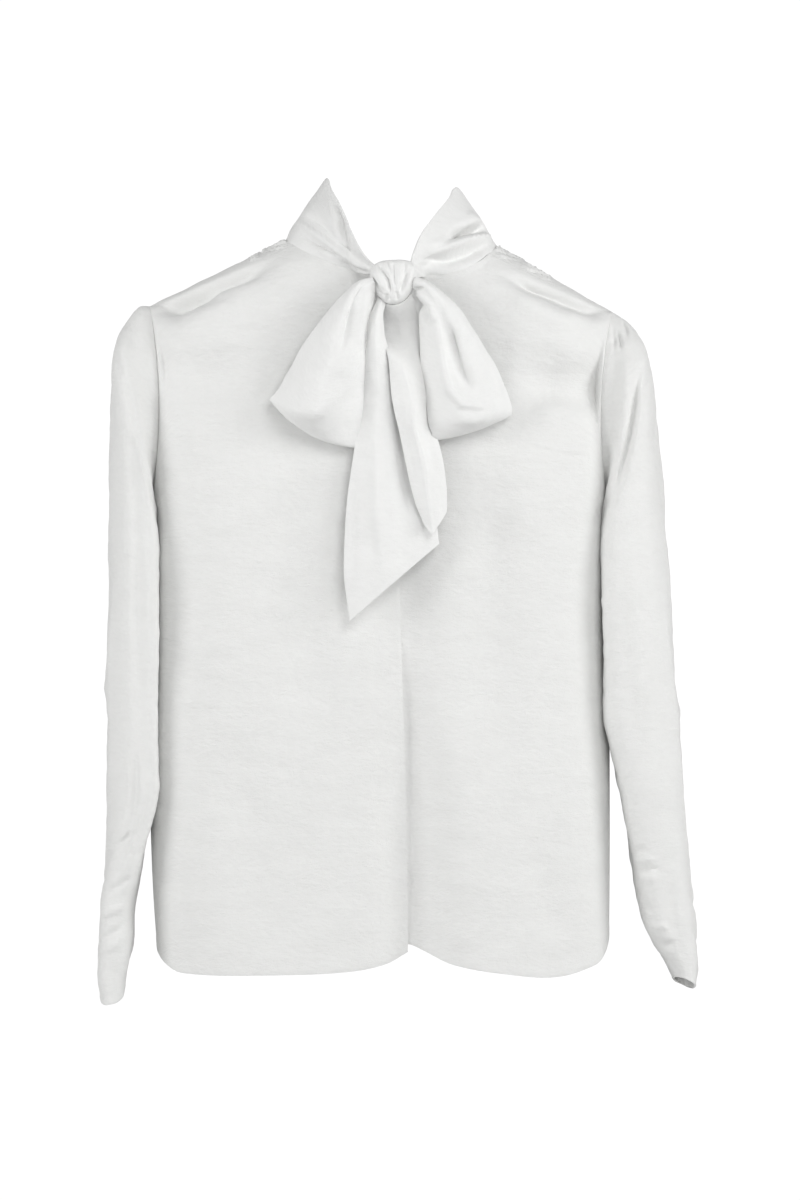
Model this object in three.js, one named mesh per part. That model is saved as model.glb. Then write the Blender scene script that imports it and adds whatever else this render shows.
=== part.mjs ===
// A tie-neck blouse that hangs filled out, as if worn. Millimetres, +Z up, the front towards -Y.
// The wearer's right is towards -X. The origin lies midway between the two points where a shoulder meets the neck.
import * as THREE from "three";

const BODY_WALL = 1.4; // one layer of cloth with its seam allowances
const BAND_WALL = 1.8; // the neck band and bow are two layers
const SEAM_GAP = 0.4; // between pieces at a seam
const FRONT_LAP = 24; // the left front passes this far under the right one
const SHOULDER_ROUND = 65; // the shoulder rounds into the front and back over this height
const SIDE_POWER = 2.6; // how flat the front is before it rounds into the side
const ARMHOLE_DEPTH = 38; // from the shoulder line to the armhole's front or back edge
const ARMHOLE_HOLLOW = 9; // the armhole curves inwards by this much
const UNDERARM = -235; // height of the armhole's lowest point
const UNDERARM_FADE = 185; // below the armhole's middle, the cloth beside it flattens over this height
const EDGE_REACH = 0.045; // share of the half width over which the cloth turns in to the armhole's edge
const VALLEY_REACH = 36; // half width of the fold down the centre front
const TROUGH_DEPTH = 3.5; // of the drag fold under each shoulder
const GATHER_HEIGHT = 1.3; // of the gathers on each shoulder
const GATHER_PITCH = 8;
const SEAM_START = 86.5; // where the forward shoulder seam meets the neck, from the middle
const SEAM_DROP_TIP = 2; // how far below the shoulder line that seam ends at the sleeve
const HEM_LEVEL = -640; // about the height of the hem, where its columns are placed
const UNDER_TUCK = 1.9; // the left front lies this far behind the right one where they lap

// Where the columns of each panel lie, from the middle outwards: x along the neck seam and the shoulder, then shares
// of the way to the armhole.
const FRONT_NECK_TURNS = [15, 30, 47, 63]; // in degrees of the neck's quarter round
const FRONT_SHOULDER_X = [76, SEAM_START, 100, 114, 128, 142, 156];
const FRONT_OUTER_SHARES = [0.86, 0.91, 0.95, 0.98, 1];
const BACK_NECK_X = [26, 50, 68, 80, 88, 92];
const BACK_OUTER_SHARES = [0.76, 0.83, 0.89, 0.94, 0.975, 1];

// Where each shoulder line starts at the neck and ends at the sleeve, as x and height. `seamDrop` is how far below it
// the forward shoulder seam starts at the neck.
const SHOULDERS = {
  right: { neck: { x: -93, z: 3 }, tip: { x: -213.8, z: -56 }, under: -213.5, gathersEnd: -125, seamDrop: 8.7 },
  left: { neck: { x: 93, z: -2 }, tip: { x: 196, z: -61 }, under: 193, gathersEnd: 141, seamDrop: 11.9 },
};

// The body by height: side seams, depth of front and back, centre-front line and the fold along it.
const BODY = [
  { z: 60, right: -213.8, left: 196, front: 52, back: 46, centre: 2, valley: 0 },
  { z: -30, right: -213.8, left: 196, front: 60, back: 50, centre: 3, valley: 0 },
  { z: -100, right: -213.8, left: 196, front: 64, back: 56, centre: 4, valley: 0 },
  { z: -235, right: -213.5, left: 193, front: 66, back: 59, centre: 6, valley: 3 },
  { z: -330, right: -214, left: 193.5, front: 65, back: 59, centre: 8, valley: 8 },
  { z: -450, right: -214.5, left: 194, front: 64, back: 58, centre: 12, valley: 17 },
  { z: -560, right: -212, left: 194, front: 65, back: 58, centre: 14.5, valley: 26 },
  { z: -650, right: -206, left: 193, front: 66, back: 60, centre: 15, valley: 31 },
];

// The neck seam in front and at the back, from the wearer's right to left.
const NECK_FRONT = [
  { x: -93, z: 3 },
  { x: -86.5, z: -2.5 },
  { x: -64, z: -14.5 },
  { x: -41, z: -23.5 },
  { x: -21, z: -30 },
  { x: 0, z: -33 },
  { x: 21, z: -32 },
  { x: 53, z: -28.5 },
  { x: 78, z: -18 },
  { x: 86.5, z: -10.5 },
  { x: 93, z: -2 },
];
const NECK_BACK = [
  { x: -93, z: 3 },
  { x: -84, z: -9 },
  { x: -64, z: -22 },
  { x: -38, z: -31 },
  { x: 0, z: -35 },
  { x: 38, z: -32 },
  { x: 64, z: -25 },
  { x: 84, z: -13 },
  { x: 93, z: -2 },
];

// The hem of each panel, across.
const HEM_RIGHT_FRONT = [
  { x: -210, z: -620 },
  { x: -200, z: -638 },
  { x: -184, z: -646 },
  { x: -100, z: -647 },
  { x: -36, z: -644 },
  { x: -4, z: -638 },
  { x: 16, z: -627 },
];
const HEM_LEFT_FRONT = [
  { x: -14, z: -619 },
  { x: 16, z: -621 },
  { x: 28, z: -626 },
  { x: 54, z: -638 },
  { x: 100, z: -646 },
  { x: 144, z: -649 },
  { x: 180, z: -639 },
  { x: 189, z: -629 },
  { x: 195, z: -610 },
];
const HEM_BACK = [
  { x: -210, z: -620 },
  { x: -190, z: -630 },
  { x: -100, z: -632 },
  { x: 0, z: -628 },
  { x: 100, z: -632 },
  { x: 180, z: -626 },
  { x: 195, z: -610 },
];

// Rows of the sleeves, from the armhole to the wrist: the outer and the inner line as x and height, the depth to the
// front and back, how far the front and back lines shift across, and how much higher the front of the ring lies.
const SLEEVE_RIGHT = [
  { ox: -214.3, oz: -56, ix: -214, iz: -235, front: 38, back: 38, shiftFront: 9, shiftBack: 9, rise: 0 },
  { ox: -224, oz: -57.5, ix: -214.6, iz: -237, front: 42, back: 42, shiftFront: 6, shiftBack: 5, rise: 0 },
  { ox: -235, oz: -70, ix: -215.6, iz: -241, front: 48, back: 48, shiftFront: 2, shiftBack: 2, rise: 0 },
  { ox: -243, oz: -84, ix: -216.5, iz: -247, front: 54, back: 54, shiftFront: 1, shiftBack: 0, rise: 0 },
  { ox: -248, oz: -108, ix: -217, iz: -256, front: 58, back: 58, shiftFront: 3, shiftBack: 0, rise: 0 },
  { ox: -248.5, oz: -145, ix: -217, iz: -270, front: 60, back: 61, shiftFront: 6, shiftBack: 2, rise: 0 },
  { ox: -250, oz: -195, ix: -217, iz: -292, front: 62, back: 63, shiftFront: 8, shiftBack: 3, rise: 0 },
  { ox: -251, oz: -250, ix: -217, iz: -322, front: 62, back: 63, shiftFront: 10, shiftBack: 3, rise: 0 },
  { ox: -251.5, oz: -310, ix: -217, iz: -352, front: 60, back: 62, shiftFront: 11, shiftBack: 2, rise: 0 },
  { ox: -253, oz: -385, ix: -217, iz: -400, front: 57, back: 60, shiftFront: 12, shiftBack: 2, rise: 0 },
  { ox: -252.5, oz: -440, ix: -217, iz: -446, front: 55, back: 58, shiftFront: 12, shiftBack: 1, rise: 0 },
  { ox: -252.5, oz: -488, ix: -216.5, iz: -490, front: 53, back: 56, shiftFront: 12, shiftBack: 0, rise: 0 },
  { ox: -252.5, oz: -522, ix: -217, iz: -522, front: 51, back: 54, shiftFront: 8, shiftBack: 0, rise: 0 },
  { ox: -253.5, oz: -550, ix: -221, iz: -550, front: 50, back: 52, shiftFront: 3, shiftBack: 0, rise: 0 },
  { ox: -258, oz: -588, ix: -227, iz: -586, front: 48, back: 50, shiftFront: -2, shiftBack: 0, rise: 0 },
  { ox: -258, oz: -622, ix: -228, iz: -619, front: 47, back: 49, shiftFront: -3, shiftBack: 2, rise: 0 },
  { ox: -259.6, oz: -646, ix: -233.4, iz: -642, front: 47, back: 48, shiftFront: -2, shiftBack: 2, rise: -4 },
  { ox: -257.2, oz: -664, ix: -236.2, iz: -659, front: 48, back: 48, shiftFront: 0, shiftBack: 0, rise: -12 },
];
const SLEEVE_LEFT = [
  { ox: 196.8, oz: -61, ix: 193.6, iz: -235, front: 38, back: 38, shiftFront: -9, shiftBack: -9, rise: 0 },
  { ox: 208, oz: -68, ix: 194.5, iz: -238, front: 42, back: 42, shiftFront: -5, shiftBack: -5, rise: 0 },
  { ox: 219, oz: -80, ix: 195.5, iz: -243, front: 48, back: 48, shiftFront: -1, shiftBack: -2, rise: 0 },
  { ox: 227, oz: -97, ix: 196.5, iz: -250, front: 54, back: 54, shiftFront: 1, shiftBack: 0, rise: 0 },
  { ox: 232, oz: -125, ix: 196.5, iz: -262, front: 58, back: 58, shiftFront: 0, shiftBack: 0, rise: 0 },
  { ox: 235, oz: -160, ix: 196.5, iz: -280, front: 60, back: 61, shiftFront: -4, shiftBack: 0, rise: 0 },
  { ox: 239, oz: -212, ix: 196.5, iz: -305, front: 61, back: 63, shiftFront: -7, shiftBack: -2, rise: 0 },
  { ox: 245, oz: -275, ix: 196.5, iz: -335, front: 60, back: 62, shiftFront: -9, shiftBack: -2, rise: 0 },
  { ox: 249.5, oz: -340, ix: 196.5, iz: -370, front: 58, back: 60, shiftFront: -8, shiftBack: -2, rise: 0 },
  { ox: 253.4, oz: -400, ix: 196.5, iz: -415, front: 56, back: 58, shiftFront: -6, shiftBack: 0, rise: 0 },
  { ox: 257.5, oz: -457, ix: 198, iz: -462, front: 54, back: 56, shiftFront: -4, shiftBack: 0, rise: 0 },
  { ox: 260, oz: -490, ix: 203.5, iz: -490, front: 52, back: 54, shiftFront: -3, shiftBack: 0, rise: 0 },
  { ox: 262.3, oz: -523, ix: 209, iz: -523, front: 50, back: 52, shiftFront: -2, shiftBack: 0, rise: 0 },
  { ox: 265, oz: -556, ix: 213.8, iz: -554, front: 49, back: 50, shiftFront: 0, shiftBack: 0, rise: 1 },
  { ox: 270, oz: -598, ix: 221, iz: -594, front: 48, back: 49, shiftFront: 2, shiftBack: 0, rise: 2 },
  { ox: 271, oz: -628, ix: 231, iz: -619, front: 48, back: 48, shiftFront: 4, shiftBack: 0, rise: 4 },
  { ox: 270.5, oz: -647, ix: 243, iz: -637, front: 48, back: 48, shiftFront: 4, shiftBack: 0, rise: 6 },
  { ox: 269, oz: -661, ix: 251, iz: -652, front: 48, back: 48, shiftFront: 3, shiftBack: 0, rise: 8 },
];

// The knot, as the half sizes of a lump that is wider at the top.
const KNOT = {
  x: 2,
  y: -84,
  z: -36,
  wide: 18.5,
  deep: 14.5,
  tall: 21,
  taper: 0.22,
  pleats: 5,
  pleatHeight: 0.7,
};

// Cross lines of the bow's pieces and of the neck band, each from one edge over the middle to the other edge.
const LOOP_RIGHT = [
  { root: true, edge: [-17, -92, -34], middle: [-18, -94, -39], other: [-16, -91, -44] },
  { edge: [-30, -92, -39], middle: [-26.5, -98, -47], other: [-19, -92, -54] },
  { edge: [-46.6, -88, -54.6], middle: [-37, -101, -66], other: [-22, -95, -72] },
  { edge: [-61.6, -84, -73], middle: [-48, -103, -89], other: [-24.5, -97, -90] },
  { edge: [-79, -80, -95], middle: [-58, -103, -118], other: [-26, -96, -107] },
  { edge: [-98, -78, -131], middle: [-69, -100, -150], other: [-28, -93, -122] },
  { edge: [-105, -76, -139], middle: [-73, -90, -164], other: [-31, -85, -152] },
  { edge: [-105.5, -73.5, -140.5], middle: [-73, -79, -170], other: [-39.5, -78, -182] },
  { edge: [-103, -71.5, -137], middle: [-72, -72.5, -165], other: [-39, -73, -177] },
  { edge: [-80, -70.5, -100], middle: [-58, -70.5, -120], other: [-28, -71, -126] },
  { edge: [-48, -72, -60], middle: [-37, -72, -70], other: [-24, -73, -80] },
  { root: true, edge: [-19, -79, -41], middle: [-18, -79, -45], other: [-16, -79, -49] },
];
const LOOP_LEFT = [
  { root: true, edge: [22, -90, -34], middle: [22, -93, -38], other: [21, -90, -43] },
  { edge: [31, -93, -37.5], middle: [32, -99, -45], other: [28.5, -94, -52] },
  { edge: [44, -90, -48], middle: [42, -98, -57], other: [35, -96, -66] },
  { edge: [58, -86, -60], middle: [50, -97, -74], other: [37, -98, -84] },
  { edge: [75, -82, -85], middle: [60, -95, -102], other: [39, -99, -108] },
  { edge: [93, -79, -115], middle: [70, -95, -132], other: [41, -98, -136] },
  { edge: [104, -77, -142], middle: [76, -94, -155], other: [43, -94, -160] },
  { edge: [105.6, -74, -152], middle: [75, -81, -167], other: [44, -81, -171] },
  { edge: [103, -71.5, -148], middle: [73, -72.5, -163], other: [38, -73, -176] },
  { edge: [85, -70.5, -108], middle: [58, -70.5, -125], other: [24, -71, -134] },
  { edge: [50, -72, -58], middle: [41, -72.5, -70], other: [27, -73, -82] },
  { root: true, edge: [23, -79, -41], middle: [22, -79, -46], other: [20, -79, -50] },
];
const TAIL_BACK = [
  { root: true, edge: [-12, -84, -53], middle: [-9.5, -86, -56], other: [-6, -84, -58] },
  { edge: [-17.6, -83, -68], middle: [-12.5, -88, -69], other: [-7.5, -85, -70] },
  { edge: [-20.5, -82, -90], middle: [-14.5, -88, -91], other: [-8.5, -85, -92] },
  { edge: [-21.5, -81, -110], middle: [-16.5, -86, -110], other: [-10.5, -83, -110] },
  { edge: [-21.5, -79, -127], middle: [-16, -84, -127], other: [-9, -80, -127] },
  { edge: [-27, -78, -155], middle: [-12, -83, -156], other: [4, -77, -156] },
  { edge: [-32.6, -77, -190], middle: [-9, -84, -192], other: [17, -75, -192] },
  { edge: [-38.7, -77, -232], middle: [-6, -84, -232], other: [31, -75, -225] },
  { edge: [-41, -78, -291], middle: [-3, -84, -272], other: [39.5, -76, -250] },
  { edge: [-36, -79, -335], middle: [3, -83, -301], other: [42.2, -76, -267.5] },
];
const TAIL_FRONT = [
  { root: true, edge: [-3, -90, -58], middle: [4, -93, -59], other: [11, -90, -58] },
  { edge: [-4, -91, -80], middle: [6, -98, -80], other: [16, -88, -80] },
  { edge: [-1, -91, -110], middle: [12, -101, -110], other: [23, -84, -108] },
  { edge: [3, -90, -138], middle: [20, -101, -138], other: [27, -82, -134] },
  { edge: [6.5, -89, -165], middle: [21, -99, -165], other: [35, -80, -160] },
  { edge: [14, -88, -200], middle: [29, -97, -200], other: [44, -80, -190] },
  { edge: [21.5, -88, -230], middle: [33.5, -96, -232], other: [48, -80, -218] },
  { edge: [28, -88, -247], middle: [36, -94, -259], other: [48, -80, -240] },
];
// The first and last rows of the band lie on the knot. In between, `seam` is the x of its neck seam point.
const BAND = [
  { root: true, edge: [-16.5, -79, -31], middle: [-17, -80, -26], other: [-17, -80, -21] },
  { seam: -30, face: "front", middle: [-28, -70, -20], other: [-25, -76, -12], fold: 0 },
  { seam: -50, face: "front", middle: [-45, -62, -4], other: [-35.5, -64, 9], fold: 0 },
  { seam: -72, face: "front", middle: [-61, -47, 12], other: [-45.5, -45, 31], fold: 0 },
  { seam: -88, face: "front", middle: [-74, -26, 24], other: [-53, -24, 47], fold: 0 },
  { seam: -93, face: "front", middle: [-78, -3, 28], other: [-57.6, -3, 56.3], fold: 0 },
  { seam: -91, face: "back", middle: [-69, 13, 37], other: [-75, 17, 32], fold: 1.2 },
  { seam: -84, face: "back", middle: [-71, 30, 15], other: [-93, 38, 5], fold: 2.2 },
  { seam: -66, face: "back", middle: [-59, 41, -2], other: [-84, 60, -26], fold: 3 },
  { seam: -38, face: "back", middle: [-36, 48, -12], other: [-50, 70, -48], fold: 3 },
  { seam: 0, face: "back", middle: [0, 50, -16], other: [0, 73, -57], fold: 3 },
  { seam: 38, face: "back", middle: [36, 48, -13], other: [50, 70, -48], fold: 3 },
  { seam: 66, face: "back", middle: [59, 41, -3], other: [82, 60, -28], fold: 3 },
  { seam: 84, face: "back", middle: [71, 30, 12], other: [88, 38, 2], fold: 2.2 },
  { seam: 91, face: "back", middle: [68, 13, 30], other: [74, 17, 26], fold: 1.2 },
  { seam: 93, face: "front", middle: [77, -3, 23], other: [58.1, -3, 48.4], fold: 0 },
  { seam: 88, face: "front", middle: [72, -26, 19], other: [51, -24, 39], fold: 0 },
  { seam: 72, face: "front", middle: [57, -47, 5], other: [39.5, -45, 24], fold: 0 },
  { seam: 50, face: "front", middle: [42, -62, -9], other: [27, -64, 6], fold: 0 },
  { seam: 30, face: "front", middle: [26, -70, -20], other: [21, -76, -9], fold: 0 },
  { root: true, edge: [21, -79, -30], middle: [22, -80, -24], other: [21, -80, -18] },
];

// Colour, roughness and metalness of the cloth: an off-white crepe, the double layers a little lighter.
const clothOf = (color) =>
  new THREE.MeshStandardMaterial({ color, roughness: 0.72, metalness: 0, side: THREE.FrontSide });
const PANEL_COLOUR = 0xebebe9;
const BOW_COLOUR = 0xf2f2f1;

const mix = (a, b, t) => a + (b - a) * t;
const clamp = (t) => Math.min(Math.max(t, 0), 1);
const ease = (t) => clamp(t) ** 2 * (3 - 2 * clamp(t));
const hump = (t, centre, reach) => Math.exp(-(((t - centre) / reach) ** 2));
const vector = (v) => new THREE.Vector3(...v);

// Reads a named column of a table at a value of another one, along a smooth curve through its rows.
function read(table, by, name, value) {
  const rows = table[0][by] > table.at(-1)[by] ? [...table].reverse() : table;
  const at = Math.min(Math.max(value, rows[0][by]), rows.at(-1)[by]);
  const i = Math.max(rows.findIndex((row) => row[by] >= at) - 1, 0);
  const slope = (k) => {
    const a = rows[Math.max(k - 1, 0)];
    const b = rows[Math.min(k + 1, rows.length - 1)];
    return (b[name] - a[name]) / (b[by] - a[by]);
  };
  const span = rows[i + 1][by] - rows[i][by];
  const t = (at - rows[i][by]) / span;
  const start = rows[i][name];
  const end = rows[i + 1][name];
  return (
    start * (1 + 2 * t) * (1 - t) ** 2 +
    end * (3 - 2 * t) * t * t +
    span * (slope(i) * t * (1 - t) ** 2 - slope(i + 1) * (1 - t) * t * t)
  );
}

const sideOf = (x) => (x < 0 ? "right" : "left");

// The height of the shoulder line, carried on inwards over the neck opening.
function shoulderLine(x) {
  const { neck, tip } = SHOULDERS[sideOf(x)];
  return mix(neck.z, tip.z, (x - neck.x) / (tip.x - neck.x));
}

// How far round the armhole a height lies: 1 at its top, -1 at the underarm.
function armholeTurn(side, z) {
  const top = SHOULDERS[side].tip.z;
  return clamp((z - UNDERARM) / (top - UNDERARM)) * 2 - 1;
}

// The x of the armhole's edge, and below it of the side seam.
function edgeX(side, z) {
  if (z < UNDERARM) return read(BODY, "z", side, z);
  const { tip, under } = SHOULDERS[side];
  const turn = armholeTurn(side, z);
  const hollow = ARMHOLE_HOLLOW * (1 - turn * turn) * -Math.sign(tip.x);
  return mix(under, tip.x, (turn + 1) / 2) + hollow;
}

// Half the depth of the armhole's opening at a height.
function edgeDepth(side, z) {
  const turn = z < UNDERARM ? -1 : armholeTurn(side, z);
  return ARMHOLE_DEPTH * Math.sqrt(Math.max(1 - turn * turn, 0));
}

// The armhole's depth as the cloth beside it takes it up, with no corner at the underarm.
function softDepth(side, z) {
  const middle = (UNDERARM + SHOULDERS[side].tip.z) / 2;
  if (z > middle) return edgeDepth(side, z);
  return ARMHOLE_DEPTH * Math.cos((clamp((middle - z) / UNDERARM_FADE) * Math.PI) / 2) ** 2;
}

// How far the front or back stands out from the plane of the side seams.
function depthAt(face, x, z) {
  const side = sideOf(x);
  const below = shoulderLine(x) - z;
  const round = Math.sqrt(1 - (1 - clamp(below / SHOULDER_ROUND)) ** 2);
  const reach = clamp(Math.abs(x) / Math.abs(edgeX(side, z)));
  const fall = Math.sqrt(1 - reach ** SIDE_POWER);
  const soft = softDepth(side, z);
  const full = read(BODY, "z", face, z) * round;
  let depth = soft + (full - soft) * fall + (edgeDepth(side, z) - soft) * hump(reach, 1, EDGE_REACH);
  if (face === "front") {
    const centre = read(BODY, "z", "centre", z);
    depth -= read(BODY, "z", "valley", z) * hump(x, centre, VALLEY_REACH);
    const along = clamp((Math.abs(x) - 100) / 50);
    depth -= TROUGH_DEPTH * ease(along) * hump(below, 19, 9) * (reach < 0.98 ? 1 : 0);
  }
  return depth;
}

function onBody(face, x, z, inset = 0) {
  const y = depthAt(face, x, z) - inset;
  return new THREE.Vector3(x, face === "front" ? -y : y, z);
}

const neckFront = (x) => onBody("front", x, read(NECK_FRONT, "x", "z", x));
const neckBack = (x) => onBody("back", x, read(NECK_BACK, "x", "z", x));

// Turns a grid of points on the cloth into a closed wall. `outside` is the share of its thickness that lies on the
// side that the grid faces; `around` joins the last column to the first. With `sideSeams` the cloth runs straight
// from front to back where its edge is a side seam.
function wall(grid, thickness, { outside = 0, around = false, sideSeams = false, faceOut }) {
  const rows = grid.length;
  const columns = grid[0].length;
  const at = (i, j) => (around ? grid[i][(j + columns) % columns] : grid[i][j]);
  const normals = grid.map((row, i) =>
    row.map((_, j) => {
      const up = at(Math.max(i - 1, 0), j);
      const down = at(Math.min(i + 1, rows - 1), j);
      const left = at(i, around ? j - 1 : Math.max(j - 1, 0));
      const right = at(i, around ? j + 1 : Math.min(j + 1, columns - 1));
      const along = new THREE.Vector3().subVectors(down, up);
      const over = new THREE.Vector3().subVectors(right, left);
      const normal = along.cross(over).normalize();
      const onSeam = sideSeams && (j === 0 || j === columns - 1) && Math.abs(row[j].y) < 1;
      return onSeam ? normal.setY(0).normalize() : normal;
    }),
  );
  const turned = faceOut(normals, grid) ? 1 : -1;
  const layer = (reach) =>
    grid.map((row, i) =>
      row.map((p, j) => p.clone().addScaledVector(normals[i][j], turned * reach)),
    );
  const layers = [layer(thickness * outside), layer(thickness * (outside - 1))];
  const positions = layers.flat(2).flatMap((p) => [p.x, p.y, p.z]);
  const id = (side, i, j) => (side * rows + i) * columns + ((j + columns) % columns);
  const faces = [];
  const quad = (a, b, c, d) => faces.push([a, b, c], [a, c, d]);
  const lastColumn = around ? columns : columns - 1;
  for (let i = 0; i < rows - 1; i++) {
    for (let j = 0; j < lastColumn; j++) {
      quad(id(0, i, j), id(0, i + 1, j), id(0, i + 1, j + 1), id(0, i, j + 1));
      quad(id(1, i, j), id(1, i, j + 1), id(1, i + 1, j + 1), id(1, i + 1, j));
    }
  }
  for (let j = 0; j < lastColumn; j++) {
    quad(id(0, 0, j), id(0, 0, j + 1), id(1, 0, j + 1), id(1, 0, j));
    quad(id(0, rows - 1, j), id(1, rows - 1, j), id(1, rows - 1, j + 1), id(0, rows - 1, j + 1));
  }
  if (!around) {
    const last = columns - 1;
    for (let i = 0; i < rows - 1; i++) {
      quad(id(0, i, 0), id(1, i, 0), id(1, i + 1, 0), id(0, i + 1, 0));
      quad(id(0, i, last), id(0, i + 1, last), id(1, i + 1, last), id(1, i, last));
    }
  }
  const index = turned > 0 ? faces.flat() : faces.flatMap(([a, b, c]) => [a, c, b]);
  const geometry = new THREE.BufferGeometry();
  geometry.setAttribute("position", new THREE.Float32BufferAttribute(positions, 3));
  geometry.setIndex(index);
  geometry.computeVertexNormals();
  return geometry;
}

// Tells whether a grid's own normals point to the front, or to the back, on the whole.
const facesY = (sign) => (normals) => normals.flat().reduce((sum, n) => sum + sign * n.y, 0) > 0;
// Tells whether a ring's normals point away from its middle.
function facesAway(normals, grid) {
  let away = 0;
  grid.forEach((row, i) => {
    const middle = row.reduce((m, p) => m.add(p), new THREE.Vector3()).divideScalar(row.length);
    row.forEach((p, j) => {
      away += normals[i][j].dot(new THREE.Vector3().subVectors(p, middle));
    });
  });
  return away > 0;
}

// Shares of a panel's height, close together where the shoulder rounds over and at the underarm.
const FRONT_LEVELS = [
  0, 0.006, 0.018, 0.036, 0.06, 0.09, 0.13, 0.17, 0.215, 0.255, 0.285, 0.306, 0.34, 0.4, 0.48, 0.57, 0.67, 0.77, 0.87,
  0.94, 1,
];
const BACK_LEVELS = [0, 0.012, 0.03, 0.06, 0.1, 0.15, 0.21, 0.265, 0.306, 0.37, 0.47, 0.6, 0.74, 0.88, 1];

// The forward shoulder seam lies this far below the shoulder line.
function seamBelow(x) {
  const { tip, seamDrop } = SHOULDERS[sideOf(x)];
  const out = clamp((Math.abs(x) - SEAM_START) / (Math.abs(tip.x) - SEAM_START));
  return mix(seamDrop, SEAM_DROP_TIP, out);
}

function frontTop(x) {
  if (Math.abs(x) <= SEAM_START) return read(NECK_FRONT, "x", "z", x);
  return shoulderLine(x) - seamBelow(x);
}

// One column of a front panel, from the neck or shoulder seam down to the hem. `share` runs from 0 at the centre
// front to 1 at the armhole; `under` counts millimetres past the centre line instead.
function frontColumn(side, share, hem, under = 0) {
  const tip = SHOULDERS[side].tip;
  const placed = (z) => {
    const centre = read(BODY, "z", "centre", z);
    return mix(centre, edgeX(side, z), share) - under;
  };
  const topX = mix(read(BODY, "z", "centre", -30), tip.x, share) - under;
  const top = frontTop(topX) - (Math.abs(topX) < SEAM_START - 1 ? 0 : SEAM_GAP);
  const hemX = placed(HEM_LEVEL);
  const bottom = read(hem, "x", "z", hemX);
  return FRONT_LEVELS.map((level) => {
    const z = mix(top, bottom, level);
    const x = level === 0 ? topX : placed(z);
    const centre = read(BODY, "z", "centre", z);
    const tuck = side === "left" ? UNDER_TUCK * (1 - ease((x - centre - 2) / 20)) : 0;
    const point = onBody("front", x, z, tuck);
    if (share === 1) point.y = Math.min(point.y, -SEAM_GAP / 2);
    return point;
  });
}

function frontPanel(side, hem) {
  const sign = side === "left" ? 1 : -1;
  const tip = Math.abs(SHOULDERS[side].tip.x);
  const centre = read(BODY, "z", "centre", -30) * sign;
  const shareOf = (x) => (x - centre) / (tip - centre);
  const neck = FRONT_NECK_TURNS.map((turn) => SEAM_START * Math.sin(THREE.MathUtils.degToRad(turn)));
  const shares = [0, ...neck.map(shareOf), ...FRONT_SHOULDER_X.map(shareOf), ...FRONT_OUTER_SHARES];
  const columns = shares.map((share) => frontColumn(side, share, hem));
  if (side === "left") {
    columns.unshift(frontColumn(side, 0, hem, FRONT_LAP / 2));
    columns.unshift(frontColumn(side, 0, hem, FRONT_LAP));
  }
  const grid = FRONT_LEVELS.map((_, i) => columns.map((column) => column[i]));
  return wall(grid, BODY_WALL, { sideSeams: true, faceOut: facesY(-1) });
}

// The gathers on a shoulder: waves along it, nothing at the seam, dying out down the back.
function gather(x, from, down) {
  const side = sideOf(x);
  const start = Math.abs(SHOULDERS[side].neck.x);
  const end = Math.abs(SHOULDERS[side].gathersEnd);
  const here = Math.abs(x);
  if (here <= start || here >= end) return 0;
  const wave = Math.cos((Math.PI * 2 * (here - start)) / GATHER_PITCH + Math.PI);
  return GATHER_HEIGHT * wave * ease(from / 12) * (1 - ease(down / 60));
}

// One column of the back: it starts on the forward shoulder seam or on the neck seam, comes over the shoulder line
// where it has one, and runs down to the hem. `startX` lies on the seam, `ridgeX` on the shoulder line.
function backColumn(startX, ridgeX, onShoulder) {
  const side = sideOf(ridgeX);
  const share = ridgeX / SHOULDERS[side].tip.x;
  const points = [];
  let top;
  if (onShoulder) {
    const onNeck = onShoulder === "neck";
    const startZ = onNeck ? read(NECK_FRONT, "x", "z", startX) : shoulderLine(startX) - seamBelow(startX);
    for (const t of [0, 0.4, 0.75]) {
      const x = mix(startX, ridgeX, t);
      const drop = mix(shoulderLine(startX) - startZ, 0, t * (2 - t));
      const point = onBody("front", x, shoulderLine(x) - drop);
      point.z += gather(x, Math.abs(point.y - onBody("front", startX, startZ).y), 0);
      points.push(point);
    }
    top = shoulderLine(ridgeX) - 0.01;
  } else {
    const z = read(NECK_BACK, "x", "z", startX);
    top = z - 4;
    for (const t of [0, 0.4, 0.75]) points.push(onBody("back", mix(startX, ridgeX, t), z - 4 * t));
  }
  const hem = read(HEM_BACK, "x", "z", share * edgeX(side, HEM_LEVEL));
  for (const level of BACK_LEVELS) {
    const z = mix(top, hem, level);
    const x = share * edgeX(side, z);
    const point = onBody("back", x, z);
    point.z += onShoulder ? gather(x, 20, top - z) : 0;
    if (share === 1) point.y = Math.max(point.y, z < UNDERARM + 1 ? SEAM_GAP / 2 : point.y);
    points.push(point);
  }
  return points;
}

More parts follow.
